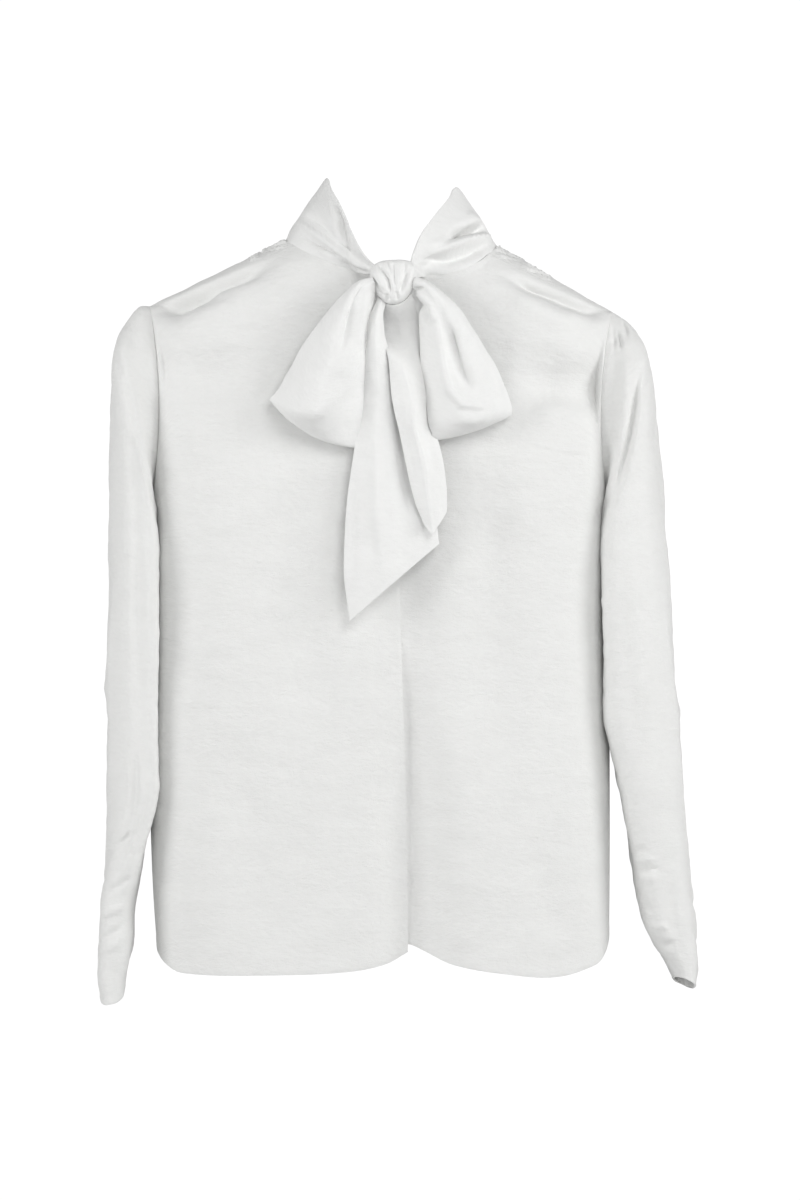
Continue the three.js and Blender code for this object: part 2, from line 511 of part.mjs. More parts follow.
function backPanel() {
  const half = (side) => {
    const sign = side === "left" ? 1 : -1;
    const { tip, gathersEnd } = SHOULDERS[side];
    const end = Math.abs(gathersEnd);
    const columns = [];
    for (const x of BACK_NECK_X) columns.push(backColumn(sign * x, sign * (x + x / 45), false));
    columns.push(backColumn(sign * 93, sign * 96, "neck"));
    columns.push(backColumn(sign * 91, sign * 99, "neck"));
    columns.push(backColumn(sign * SEAM_START, sign * 103, "seam"));
    for (let x = 105; x < end - 1; x += GATHER_PITCH / 2) {
      columns.push(backColumn(sign * mix(90, x, clamp((x - 105) / 14)), sign * (x + 2), "seam"));
    }
    for (const share of BACK_OUTER_SHARES) {
      if (Math.abs(tip.x) * share > end + 3) {
        columns.push(backColumn(tip.x * share, tip.x * share, "seam"));
      }
    }
    return columns;
  };
  const middle = backColumn(0.001, 0.001, false);
  const columns = [...half("right").reverse(), middle, ...half("left")];
  const grid = columns[0].map((_, i) => columns.map((column) => column[i]));
  return wall(grid, BODY_WALL, { sideSeams: true, faceOut: facesY(1) });
}

const SLEEVE_POINTS = 18;

// One ring of a sleeve. It starts on the outer line and turns towards the front.
function sleeveRing(row) {
  const ring = [];
  for (let k = 0; k < SLEEVE_POINTS; k++) {
    const turn = (k / SLEEVE_POINTS) * 2 * Math.PI;
    const c = Math.cos(turn);
    const s = Math.sin(turn);
    const shift = (s > 0 ? row.shiftFront : row.shiftBack) * s * s;
    const x = mix(row.ix, row.ox, (1 + c) / 2) + shift;
    const z = mix(row.iz, row.oz, (1 + c) / 2) + row.rise * s;
    ring.push(new THREE.Vector3(x, -s * (s > 0 ? row.front : row.back), z));
  }
  return ring;
}

function sleeve(table) {
  return wall(table.map(sleeveRing), BODY_WALL, { around: true, faceOut: facesAway });
}

// Moves a point out or in along its line from the knot's middle until it lies just clear of the knot.
function onKnot(point) {
  const from = new THREE.Vector3(KNOT.x, KNOT.y, KNOT.z);
  const away = point.clone().sub(from);
  const inside = (k) => {
    const z = (away.z * k) / KNOT.tall;
    const wide = KNOT.wide * (1 + KNOT.taper * z);
    return ((away.x * k) / wide) ** 2 + ((away.y * k) / KNOT.deep) ** 2 + z * z < 1;
  };
  let [low, high] = [0, 4];
  for (let step = 0; step < 40; step++) {
    const middle = (low + high) / 2;
    if (inside(middle)) low = middle;
    else high = middle;
  }
  return from.add(away.multiplyScalar(low + (KNOT.pleatHeight + SEAM_GAP) / away.length()));
}

// The point at `v` across one row: 0 and 1 are the edges. `crease` from 0 to 1 sharpens the middle.
function onRow(row, v, crease) {
  const [a, m, b] = [row.edge, row.middle, row.other];
  const smooth = (k) => a[k] * (1 - v) * (1 - 2 * v) + m[k] * 4 * v * (1 - v) + b[k] * v * (2 * v - 1);
  const bent = (k) => (v < 0.5 ? mix(a[k], m[k], v * 2) : mix(m[k], b[k], v * 2 - 1));
  const point = new THREE.Vector3(...[0, 1, 2].map((k) => mix(smooth(k), bent(k), crease)));
  return row.root ? onKnot(point) : point;
}

// A strip of cloth through its rows, with `steps` grid rows between two of them and `relief` as its folds.
function strip(table, widths, steps, crease, relief) {
  const lines = widths.map((v) => new THREE.CatmullRomCurve3(table.map((row) => onRow(row, v, crease))));
  const count = (table.length - 1) * steps;
  const grid = [];
  for (let i = 0; i <= count; i++) {
    const u = i / count;
    grid.push(lines.map((line, j) => line.getPoint(u).add(relief(u, widths[j]))));
  }
  return wall(grid, BAND_WALL, { outside: 0.5, faceOut: () => true });
}

const evenly = (n) => Array.from({ length: n + 1 }, (_, k) => k / n);
const forward = (y) => new THREE.Vector3(0, y, 0);

// The folds of each strip: troughs and ridges along it, which fade out towards its ends.
const loopRightFolds = (u, v) =>
  forward(4 * hump(v, 0.62, 0.1) * hump(u, 0.2, 0.14) * ease(u / 0.08) - 2 * hump(v, 0.3, 0.2) * hump(u, 0.28, 0.12));
const loopLeftFolds = (u, v) =>
  forward(9 * hump(v, 0.5, 0.2) * hump(u, 0.33, 0.14) * ease(u / 0.1));
const tailBackFolds = (u, v) =>
  forward(ease((u - 0.35) / 0.3) * (4 * hump(v, 0.68, 0.14) - 2.5 * hump(v, 0.36, 0.12)));
const noFolds = () => forward(0);

function bandGrid() {
  const rows = BAND.map((row) => {
    if (row.root) return evenly(6).map((v) => onRow(row, v, 0));
    const seam = row.face === "front" ? neckFront(row.seam) : neckBack(row.seam);
    const inwards = new THREE.Vector3(-seam.x, -seam.y, 0).normalize();
    const foot = seam.clone().addScaledVector(inwards, BAND_WALL / 2 + 0.2);
    foot.z += SEAM_GAP + 0.5;
    const crest = vector(row.middle);
    const edge = vector(row.other);
    const out = new THREE.Vector3(crest.x, crest.y, 0).normalize().multiplyScalar(row.fold);
    const stand = crest.clone().sub(out);
    const fall = crest.clone().add(out);
    stand.z -= row.fold;
    fall.z -= row.fold;
    return [
      foot,
      foot.clone().lerp(stand, 0.5),
      row.fold ? stand : foot.clone().lerp(crest, 0.85),
      crest,
      row.fold ? fall : crest.clone().lerp(edge, 0.15),
      fall.clone().lerp(edge, 0.55),
      edge,
    ];
  });
  const steps = 3;
  const count = (rows.length - 1) * steps;
  const lines = rows[0].map((_, j) => new THREE.CatmullRomCurve3(rows.map((row) => row[j]), false, "centripetal"));
  const grid = [];
  for (let i = 0; i <= count; i++) grid.push(lines.map((line) => line.getPoint(i / count)));
  return grid;
}

function knot() {
  const geometry = new THREE.SphereGeometry(1, 28, 18);
  const position = geometry.getAttribute("position");
  for (let i = 0; i < position.count; i++) {
    const [dx, dz, dy] = [position.getX(i), position.getY(i), -position.getZ(i)];
    const x = dx * KNOT.wide * (1 + KNOT.taper * dz);
    const fade = (1 - dz ** 4) * (1 - dx ** 4);
    const ridge = KNOT.pleatHeight * Math.cos((Math.PI * KNOT.pleats * x) / KNOT.wide) * fade;
    const stand = 1 + ridge / KNOT.deep;
    position.setXYZ(i, KNOT.x + x, KNOT.y + dy * KNOT.deep * stand, KNOT.z + dz * KNOT.tall);
  }
  geometry.deleteAttribute("uv");
  geometry.computeVertexNormals();
  return geometry;
}

const blouse = new THREE.Group();
const add = (name, geometry, colour) => {
  const mesh = new THREE.Mesh(geometry, clothOf(colour));
  mesh.name = name;
  blouse.add(mesh);
};

add("front_right", frontPanel("right", HEM_RIGHT_FRONT), PANEL_COLOUR);
add("front_left", frontPanel("left", HEM_LEFT_FRONT), PANEL_COLOUR);
add("back", backPanel(), PANEL_COLOUR);
add("sleeve_right", sleeve(SLEEVE_RIGHT), PANEL_COLOUR);
add("sleeve_left", sleeve(SLEEVE_LEFT), PANEL_COLOUR);
add("neck_band", wall(bandGrid(), BAND_WALL, { outside: 0.5, faceOut: () => true }), BOW_COLOUR);
add("bow_knot", knot(), BOW_COLOUR);
add("bow_loop_right", strip(LOOP_RIGHT, evenly(8), 2, 0.15, loopRightFolds), BOW_COLOUR);
add("bow_loop_left", strip(LOOP_LEFT, evenly(8), 2, 0.15, loopLeftFolds), BOW_COLOUR);
add("bow_tail_back", strip(TAIL_BACK, evenly(7), 2, 0.2, tailBackFolds), BOW_COLOUR);
add("bow_tail_front", strip(TAIL_FRONT, evenly(6), 2, 0.7, noFolds), BOW_COLOUR);

export default blouse;
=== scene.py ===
# %% [markdown]
# # A tie-neck blouse in off-white crepe
#
# The blouse hangs filled out, as if it were worn, with nothing inside it. It has two fronts, a back that
# comes over the shoulders, two sleeves, and one doubled neck band whose ends are tied in a bow. Each piece
# starts as a flat cut of cloth, a grid, and is laid onto the worn form. Then its folds are pressed in, and
# it gets its thickness. All patterns are in millimetres: x towards the wearer's left, -y out of the front,
# z up from where it hangs.

import bmesh
import bpy
import numpy as np
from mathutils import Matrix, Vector, noise


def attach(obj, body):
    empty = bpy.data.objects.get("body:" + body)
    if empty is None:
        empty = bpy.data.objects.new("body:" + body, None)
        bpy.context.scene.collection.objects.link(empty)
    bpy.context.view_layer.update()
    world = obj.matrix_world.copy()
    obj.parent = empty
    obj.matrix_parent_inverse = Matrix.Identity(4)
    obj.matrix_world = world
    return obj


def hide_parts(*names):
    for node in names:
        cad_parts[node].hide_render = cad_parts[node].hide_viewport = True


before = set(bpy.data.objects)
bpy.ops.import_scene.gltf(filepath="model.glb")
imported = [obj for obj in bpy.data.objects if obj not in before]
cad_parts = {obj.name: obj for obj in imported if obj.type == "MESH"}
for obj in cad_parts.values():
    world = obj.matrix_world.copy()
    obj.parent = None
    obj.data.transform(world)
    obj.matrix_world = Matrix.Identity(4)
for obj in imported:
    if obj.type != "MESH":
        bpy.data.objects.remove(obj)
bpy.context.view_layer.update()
MM = 0.001
FORWARD = np.array([0, -1.0, 0])
print("CAD nodes:", len(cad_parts))

# %% [markdown]
# ## The worn form of the body
#
# A body pattern is a short table: at some heights, how far out the side seams lie, how far the front and
# back stand from the plane of the side seams, and where the fold down the centre front runs. A smooth curve
# through the rows gives every height in between.

# %% Body pattern
SHOULDERS = {
    "right": {"neck": (-93, 3), "tip": (-213.8, -56), "under": -213.5, "gathers_end": 125, "seam_drop": 8.7},
    "left": {"neck": (93, -2), "tip": (196, -61), "under": 193, "gathers_end": 141, "seam_drop": 11.9},
}
BODY = {
    "z": (60, -30, -100, -235, -330, -450, -560, -650),
    "right": (-213.8, -213.8, -213.8, -213.5, -214, -214.5, -212, -206),
    "left": (196, 196, 196, 193, 193.5, 194, 194, 193),
    "front": (52, 60, 64, 66, 65, 64, 65, 66),
    "back": (46, 50, 56, 59, 59, 58, 58, 60),
    "centre": (2, 3, 4, 6, 8, 12, 14.5, 15),
    "valley": (0, 0, 0, 3, 8, 17, 26, 31),
}
NECK_FRONT = {
    "x": (-93, -86.5, -64, -41, -21, 0, 21, 53, 78, 86.5, 93),
    "z": (3, -2.5, -14.5, -23.5, -30, -33, -32, -28.5, -18, -10.5, -2),
}
NECK_BACK = {
    "x": (-93, -84, -64, -38, 0, 38, 64, 84, 93),
    "z": (3, -9, -22, -31, -35, -32, -25, -13, -2),
}
HEMS = {
    "front_right": {
        "x": (-210, -200, -184, -100, -36, -4, 16),
        "z": (-620, -638, -646, -647, -644, -638, -627),
    },
    "front_left": {
        "x": (-14, 16, 28, 54, 100, 144, 180, 189, 195),
        "z": (-619, -621, -626, -638, -646, -649, -639, -629, -610),
    },
    "back": {
        "x": (-210, -190, -100, -20, 18, 60, 110, 180, 195),
        "z": (-620, -630, -632, -624, -619, -624, -631, -626, -610),
    },
}
HEM_Z = -640.0
BODY_WALL = 1.4
BAND_WALL = 1.8
SEAM_GAP = 0.1
FRONT_LAP = 24
UNDER_TUCK = 1.9
SHOULDER_ROUND = 65
SIDE_POWER = 5.0
ARMHOLE_DEPTH = 38
ARMHOLE_HOLLOW = 9
UNDERARM = -235
UNDERARM_FADE = 185
EDGE_REACH = 0.045
VALLEY_REACH = 36
SEAM_START = 86.5
SEAM_DROP_TIP = 2


# %% Reading a pattern
def read(table, by, name, value):
    """One column of a pattern at some values of another column, along a smooth curve."""
    order = np.argsort(table[by])
    knots = np.array(table[by], float)[order]
    values = np.array(table[name], float)[order]
    slopes = np.gradient(values) / np.gradient(knots)
    at = np.clip(value, knots[0], knots[-1])
    i = np.clip(np.searchsorted(knots, at) - 1, 0, len(knots) - 2)
    span = knots[i + 1] - knots[i]
    t = (at - knots[i]) / span
    start = values[i] * (1 + 2 * t) * (1 - t) ** 2
    end = values[i + 1] * (3 - 2 * t) * t * t
    return start + end + span * (slopes[i] * t * (1 - t) ** 2 - slopes[i + 1] * (1 - t) * t * t)


def mix(a, b, t):
    """From a at t = 0 to b at t = 1."""
    return a + (b - a) * t


def ease(t):
    """0 up to t = 0, 1 from t = 1 on, with a soft start and end between them."""
    t = np.clip(t, 0, 1)
    return t * t * (3 - 2 * t)


def hump(t, centre, reach):
    """A soft bump of height 1."""
    return np.exp(-(((t - centre) / reach) ** 2))


# %% The worn form
def by_side(x, right, left):
    """One value on the wearer's right, where x is below 0, and another on the left."""
    return np.where(x < 0, right, left)


def shoulder_line(x):
    """Height of the shoulder line, carried on inwards over the neck opening."""
    lines = []
    for side in ("right", "left"):
        (neck_x, neck_z), (tip_x, tip_z) = SHOULDERS[side]["neck"], SHOULDERS[side]["tip"]
        lines.append(mix(neck_z, tip_z, (x - neck_x) / (tip_x - neck_x)))
    return by_side(x, *lines)


def armhole_turn(side, z):
    """How far round the armhole a height lies: 1 at its top, -1 at the underarm."""
    top = SHOULDERS[side]["tip"][1]
    return np.clip((z - UNDERARM) / (top - UNDERARM), 0, 1) * 2 - 1


def edge_x(side, z):
    """The x of the armhole's edge, and below it of the side seam."""
    tip = SHOULDERS[side]["tip"][0]
    turn = armhole_turn(side, z)
    armhole = mix(SHOULDERS[side]["under"], tip, (turn + 1) / 2)
    armhole = armhole - ARMHOLE_HOLLOW * (1 - turn**2) * np.sign(tip)
    return np.where(z < UNDERARM, read(BODY, "z", side, z), armhole)


def edge_depth(side, z):
    """How far the armhole's edge stands out from the plane of the side seams."""
    turn = np.where(z < UNDERARM, -1, armhole_turn(side, z))
    return ARMHOLE_DEPTH * np.sqrt(np.clip(1 - turn**2, 0, 1))


def soft_depth(side, z):
    """The armhole's depth as the cloth beside it takes it up, with no corner at the underarm."""
    middle = (UNDERARM + SHOULDERS[side]["tip"][1]) / 2
    down = np.clip((middle - z) / UNDERARM_FADE, 0, 1)
    return np.where(z > middle, edge_depth(side, z), ARMHOLE_DEPTH * np.cos(down * np.pi / 2) ** 2)


def depth_at(face, x, z):
    """How far the front or back stands out from the plane of the side seams."""
    below = shoulder_line(x) - z
    rounding = np.sqrt(1 - (1 - np.clip(below / SHOULDER_ROUND, 0, 1)) ** 2)
    reach = np.clip(np.abs(x) / np.abs(by_side(x, edge_x("right", z), edge_x("left", z))), 0, 1)
    fall = np.sqrt(1 - reach**SIDE_POWER)
    edge = by_side(x, edge_depth("right", z), edge_depth("left", z))
    soft = by_side(x, soft_depth("right", z), soft_depth("left", z))
    depth = soft + (read(BODY, "z", face, z) * rounding - soft) * fall
    depth = depth + (edge - soft) * hump(reach, 1, EDGE_REACH)
    if face == "front":
        depth = depth - read(BODY, "z", "valley", z) * hump(x, read(BODY, "z", "centre", z), VALLEY_REACH)
    return depth


def on_body(face, x, z, inset=0.0):
    """The point of the worn form at an x and a z, in front or behind, moved inwards by `inset`."""
    depth = depth_at(face, x, z) - inset
    return np.stack([x, -depth if face == "front" else depth, z], axis=-1)


print("Chest depth in mm:", float(depth_at("front", np.array(0.0), np.array(-200.0))))

# %% [markdown]
# ## Folds pressed in
#
# A crease in a real blouse has a start and an end, is deepest somewhere between them, and no two are alike.
# Each one here is a short path of x and z as seen from the front, a half width, and a height: above 0 it is
# a ridge, below 0 a trough. It fades out towards both of its ends. The table of each piece lists its main
# ones, and a slow unevenness keeps the cloth between them from looking machined.


# %% Creases and unevenness
def creases(x, z, table):
    """How far the cloth stands out at each point, for a table of (path, half width, height)."""
    total = np.zeros(x.shape)
    for path, width, height in table:
        path = np.array(path, float)
        lengths = np.linalg.norm(np.diff(path, axis=0), axis=1)
        starts = np.concatenate([[0], np.cumsum(lengths)])
        nearest = np.full(x.shape, np.inf)
        along = np.zeros(x.shape)
        for k, length in enumerate(lengths):
            dx, dz = (path[k + 1] - path[k]) / length
            t = np.clip((x - path[k][0]) * dx + (z - path[k][1]) * dz, 0, length)
            gap = np.hypot(x - path[k][0] - t * dx, z - path[k][1] - t * dz)
            along = np.where(gap < nearest, starts[k] + t, along)
            nearest = np.minimum(gap, nearest)
        share = along / starts[-1]
        fade = ease(share / 0.3) * ease((1 - share) / 0.3)
        total += height * np.exp(-((nearest / width) ** 2)) * (0.12 + 0.88 * fade)
    return total


def unevenness(grid, pitch, height, seed, squash=0.7):
    """Random-looking waves, the same each run. Above 1, `squash` makes them longer across than up."""
    flat = grid.reshape(-1, 3) / pitch
    waves = [noise.noise(Vector((p[0], p[1] + seed * 7.3, p[2] * squash))) for p in flat]
    return height * np.array(waves).reshape(grid.shape[:-1])


def slow_waves(grid, seed):
    """The slow unevenness of a large piece of cloth."""
    return unevenness(grid, 70, 2.2, seed, 0.5)


def small_waves(grid, seed):
    """The small unevenness of a large piece, longer across than up."""
    return unevenness(grid, 30, 0.8, seed, 2.4) + unevenness(grid, 11, 0.3, seed + 1, 2.6)


def rolled_hem(level, length, height=0.5):
    """A narrow rolled hem: a soft ridge along the last few millimetres of a piece of that length."""
    return height * hump((1 - level) * length, 2.5, 3.0)


# %% [markdown]
# ## From a flat cut to a worn piece
#
# Every piece of cloth is made by the same steps. A grid is the flat cut. Its points are laid onto the form,
# the creases move them along the cloth's own normal, and the lengths along its threads become its UV map,
# so the crepe's crinkle follows the cloth wherever it turns. A sleeve's long edges are then sewn together.
# Solidify gives the wall, and a fine bevel rounds the cut edges as a rolled hem does.


# %% Laying out a piece
EDGE_ROUND = 0.32
EDGE_ANGLE = 1.2


def normals_of(grid, around):
    """The normal of the cloth at each point of its grid."""
    down = np.gradient(grid, axis=0)
    if around:
        ring = grid[:, :-1]
        turn = np.roll(ring, -1, axis=1) - np.roll(ring, 1, axis=1)
        over = np.concatenate([turn, turn[:, :1]], axis=1)
    else:
        over = np.gradient(grid, axis=1)
    normal = np.cross(down, over)
    return normal / np.maximum(np.linalg.norm(normal, axis=-1, keepdims=True), 1e-9)


def thread_lengths(grid):
    """Lengths along the two threads, from the middle column and from a level line at the lower end."""
    along = np.linalg.norm(np.diff(grid, axis=0), axis=-1)
    across = np.linalg.norm(np.diff(grid, axis=1), axis=-1)
    v = np.concatenate([np.zeros((1, grid.shape[1])), np.cumsum(along, axis=0)])
    u = np.concatenate([np.zeros((grid.shape[0], 1)), np.cumsum(across, axis=1)], axis=1)
    return u - u[:, grid.shape[1] // 2][:, None], v - v[-1] - grid[-1, :, 2]


def cut_cloth(name, grid, facing, wall, offset, relief, around=False, pressed=0.0):
    """A piece of cloth laid over a grid of points in mm. `facing` gives the outward direction at each
    point, `relief` the folds along the cloth's normal and `pressed` those that go straight back."""
    rows, columns = grid.shape[0] - 1, grid.shape[1] - 1
    normals = normals_of(grid, around)
    if np.sum(normals * facing) < 0:
        normals = -normals
    u, v = thread_lengths(grid)
    grid = grid + normals * relief[..., None]
    grid[..., 1] += pressed
    if around:
        grid[:, -1] = grid[:, 0]
    mesh = bmesh.new()
    bmesh.ops.create_grid(mesh, x_segments=columns, y_segments=rows, size=0.5)
    places = {}
    for vert in mesh.verts:
        i, j = round((0.5 - vert.co.y) * rows), round((vert.co.x + 0.5) * columns)
        places[vert] = (i, j)
    uv = mesh.loops.layers.uv.new("Threads")
    for face in mesh.faces:
        for loop in face.loops:
            i, j = places[loop.vert]
            loop[uv].uv = (u[i, j] * MM, v[i, j] * MM)
    for vert, (i, j) in places.items():
        vert.co = grid[i, j] * MM
    mesh.normal_update()
    agreement = sum(face.normal.dot(Vector(normals[places[face.verts[0]]])) for face in mesh.faces)
    if agreement < 0:
        bmesh.ops.reverse_faces(mesh, faces=mesh.faces)
    if around:
        seam = [vert for vert, (i, j) in places.items() if j in (0, columns)]
        bmesh.ops.remove_doubles(mesh, verts=seam, dist=1e-7)
    area = sum(face.calc_area() for face in mesh.faces)
    piece = finish(name, mesh, wall, offset)
    wide, long = np.ptp(u) * MM, np.ptp(v) * MM
    print(f"{name}: {rows} x {columns}, area {area:.4f} m2, about {wide:.3f} x {long:.3f} m")
    return piece


def finish(name, mesh, wall=0.0, offset=-1.0):
    """Turns a bmesh into a smooth piece of the scene, with a wall of cloth if it has one."""
    data = bpy.data.meshes.new(name)
    mesh.to_mesh(data)
    mesh.free()
    data.shade_smooth()
    piece = bpy.data.objects.new(name, data)
    bpy.context.scene.collection.objects.link(piece)
    if wall:
        thickness = piece.modifiers.new("Wall of cloth", "SOLIDIFY")
        thickness.thickness = wall * MM
        thickness.offset = offset
        rolled = piece.modifiers.new("Rolled edge", "BEVEL")
        rolled.width = wall * MM * EDGE_ROUND
        rolled.segments = 2
        rolled.limit_method = "ANGLE"
        rolled.angle_limit = EDGE_ANGLE
    return piece


# %% [markdown]
# ## Crepe
#
# Crepe is woven from hard-twisted yarn, which shrinks into a fine, uneven crinkle, longer across the cloth
# than up it. It is matt, with a soft low sheen at a slant. One stretched noise makes the crinkle, a finer
# one the grain of the yarn, and a coarse one the slow unevenness of the colour. The first two reach the
# surface as bump. The crinkle also paints shade into the colour, a little darker in its troughs and
# lighter on its crests, and changes the roughness a little. All of them read the UV map, whose unit is
# the metre, so the grain keeps its size on every piece.


# %% Crepe material
def crepe(name, colour, crinkle):
    """A crepe finish on the thread lengths. `crinkle` is how strongly the bump shows."""
    material = bpy.data.materials.new(name)
    material.use_nodes = True
    nodes, links = material.node_tree.nodes, material.node_tree.links
    shader = nodes["Principled BSDF"]
    shader.inputs["Sheen Weight"].default_value = 0.12
    shader.inputs["Sheen Roughness"].default_value = 0.5
    shader.inputs["Specular IOR Level"].default_value = 0.25
    threads = nodes.new("ShaderNodeUVMap")
    threads.uv_map = "Threads"

    def grain(stretch, scale, detail):
        """A noise on the thread lengths, pressed together up the cloth by the second stretch."""
        mapping = nodes.new("ShaderNodeMapping")
        mapping.inputs["Scale"].default_value = stretch
        pattern = nodes.new("ShaderNodeTexNoise")
        pattern.inputs["Scale"].default_value = scale
        pattern.inputs["Detail"].default_value = detail
        pattern.inputs["Roughness"].default_value = 0.6
        links.new(threads.outputs["UV"], mapping.inputs["Vector"])
        links.new(mapping.outputs["Vector"], pattern.inputs["Vector"])
        return pattern.outputs["Fac"]

    ripple = grain((1, 2.1, 1), 125, 3.6)
    yarn = grain((1, 1.6, 1), 900, 2)
    blotch = grain((1, 1.4, 1), 24, 3)

    joined = nodes.new("ShaderNodeMath")
    joined.operation = "MULTIPLY_ADD"
    joined.inputs[1].default_value = 0.35
    links.new(yarn, joined.inputs[0])
    links.new(ripple, joined.inputs[2])
    bump = nodes.new("ShaderNodeBump")
    bump.inputs["Strength"].default_value = crinkle
    bump.inputs["Distance"].default_value = 0.0014
    links.new(joined.outputs["Value"], bump.inputs["Height"])
    links.new(bump.outputs["Normal"], shader.inputs["Normal"])

    shades = nodes.new("ShaderNodeValToRGB")
    shades.color_ramp.elements[0].position = 0.3
    shades.color_ramp.elements[0].color = (*[c * 0.975 for c in colour], 1)
    shades.color_ramp.elements[1].position = 0.7
    shades.color_ramp.elements[1].color = (*colour, 1)
    links.new(blotch, shades.inputs["Fac"])
    # painted shade and highlight: the crinkle's own noise makes the colour 3 per cent darker in its troughs
    # and 3 per cent lighter on its crests
    crinkle_shade = nodes.new("ShaderNodeMapRange")
    crinkle_shade.inputs["To Min"].default_value = 0.97
    crinkle_shade.inputs["To Max"].default_value = 1.03
    links.new(ripple, crinkle_shade.inputs["Value"])
    blotches_and_crinkle_shade = nodes.new("ShaderNodeVectorMath")
    blotches_and_crinkle_shade.operation = "SCALE"
    links.new(shades.outputs["Color"], blotches_and_crinkle_shade.inputs[0])
    links.new(crinkle_shade.outputs["Result"], blotches_and_crinkle_shade.inputs["Scale"])
    links.new(blotches_and_crinkle_shade.outputs["Vector"], shader.inputs["Base Color"])
    dullness = nodes.new("ShaderNodeMapRange")
    dullness.inputs["To Min"].default_value = 0.58
    dullness.inputs["To Max"].default_value = 0.78
    links.new(ripple, dullness.inputs["Value"])
    links.new(dullness.outputs["Result"], shader.inputs["Roughness"])
    return material


PANEL_CREPE = crepe("Crepe, one layer", (0.81, 0.812, 0.80), 0.65)
# The band, bow and knot get the same crepe with less crinkle, as the band is doubled. Its colour is painted
# a little lighter than the panels': painted light, for the brighter light on the bow.
BAND_CREPE_PAINTED_LIGHTER = crepe("Crepe, two layers, painted lighter", (0.83, 0.832, 0.822), 0.45)

# %% [markdown]
# Each piece was a flat cut before it was sewn. Its width and length are in metres, all round on a tube. Its
# cloth, in square metres, is less than their product, because necks, armholes and hems are cut away and the
# band and bow get narrower at the knot.


def dress(piece, node, double_painted_lighter=False):
    """Gives a piece of cloth its finish, hangs it from the root, and hides the CAD part it replaces."""
    # painted light: the doubled pieces get the crepe painted a little lighter
    piece.data.materials.append(BAND_CREPE_PAINTED_LIGHTER if double_painted_lighter else PANEL_CREPE)
    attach(piece, "root")
    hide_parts(node)


# %% [markdown]
# ## The two fronts
#
# Each front runs from the centre out to the armhole and side seam, and from the neck and the forward
# shoulder seam down to the hem. The wearer's right front laps over the left one, whose edge carries on 24
# mm under it, and the closing is hidden in the lap. The photograph's main folds are a drag line under each
# shoulder, a hollow inside each armhole, and the long valley down the centre front.

# %% Creases of the fronts
FRONT_CREASES = [
    # under the right shoulder
    ([(-104, -20), (-134, -30), (-163, -40), (-184, -51), (-208, -60)], 6.5, -9.0),
    ([(-150, -40), (-184, -54), (-206, -66)], 11, -6.0),
    ([(-120, -48), (-156, -62), (-196, -82)], 12, 3.0),
    # under the left shoulder
    ([(100, -30), (114, -37), (131, -44), (150, -51), (172, -59), (194, -65)], 5.5, -5.0),
    ([(98, -40), (120, -56), (150, -70), (178, -73)], 10, 5.0),
    ([(83, -97), (118, -94), (150, -92)], 11, -1.2),
    ([(120, -152), (150, -150), (180, -158)], 9, 3.0),
    # fine drag lines
    ([(-160, -72), (-138, -78), (-108, -81)], 2.0, -0.5),
    ([(-150, -88), (-132, -93), (-112, -92)], 2.2, 0.5),
    ([(114, -174), (136, -182), (172, -187)], 2.0, 0.6),
    ([(120, -180), (145, -188), (176, -192)], 2.2, -0.6),
    ([(116, -594), (121, -602), (125, -613)], 2.4, 0.9),
    # long soft folds down the body
    ([(-198, -170), (-200, -300), (-196, -480)], 7, 1.4),
    ([(-180, -200), (-181, -330), (-178, -440)], 9, -1.3),
    ([(-150, -260), (-146, -420), (-140, -600)], 20, 1.4),
    ([(-96, -330), (-88, -480), (-84, -640)], 22, -1.8),
    ([(-32, -330), (-22, -450), (-16, -620)], 16, 1.8),
    ([(46, -360), (52, -480), (54, -620)], 20, 1.6),
    ([(96, -300), (100, -430), (96, -600)], 24, -1.8),
    ([(180, -230), (150, -310), (128, -420)], 20, 1.8),
    ([(160, -400), (158, -500), (150, -610)], 20, 1.4),
]
# hollows inside the armholes, under the shoulders, and slanting down the body; here the third number says
# how far the cloth goes straight back
FRONT_HOLLOWS = [
    ([(196, -76), (190, -104), (188, -130), (186, -164)], 20, 5.0),
    ([(100, -118), (150, -126), (200, -134), (250, -140)], 24, 17.0),
    ([(100, -32), (128, -45), (150, -51), (172, -58), (194, -63)], 5.5, 9.0),
    ([(-256, -96), (-205, -108), (-165, -118), (-115, -118)], 22, 9.0),
    ([(-108, -16), (-134, -26), (-163, -36), (-184, -49), (-206, -58)], 6, 11.0),
    ([(-70, -170), (-84, -260), (-78, -370), (-60, -460)], 26, 6.0),
    ([(84, -190), (92, -280), (82, -380), (62, -470)], 24, 6.0),
    ([(120, -520), (134, -570), (150, -630)], 16, 3.0),
    ([(-150, -430), (-128, -520), (-120, -630)], 24, 3.5),
]
# the same for the left front, which falls away beside the edge that laps over it
CENTRE_VALLEY = [([(15, -330), (18, -440), (20, -560), (20, -640)], 7, 2.6)]
FRONT_ROWS = 236
FRONT_COLUMNS = 84
FRONT_LENGTH = 640
LAP_SHARE = 0.11
CROWDS_TO_SIDE = 1.35
CROWDS_TO_TOP = 0.58


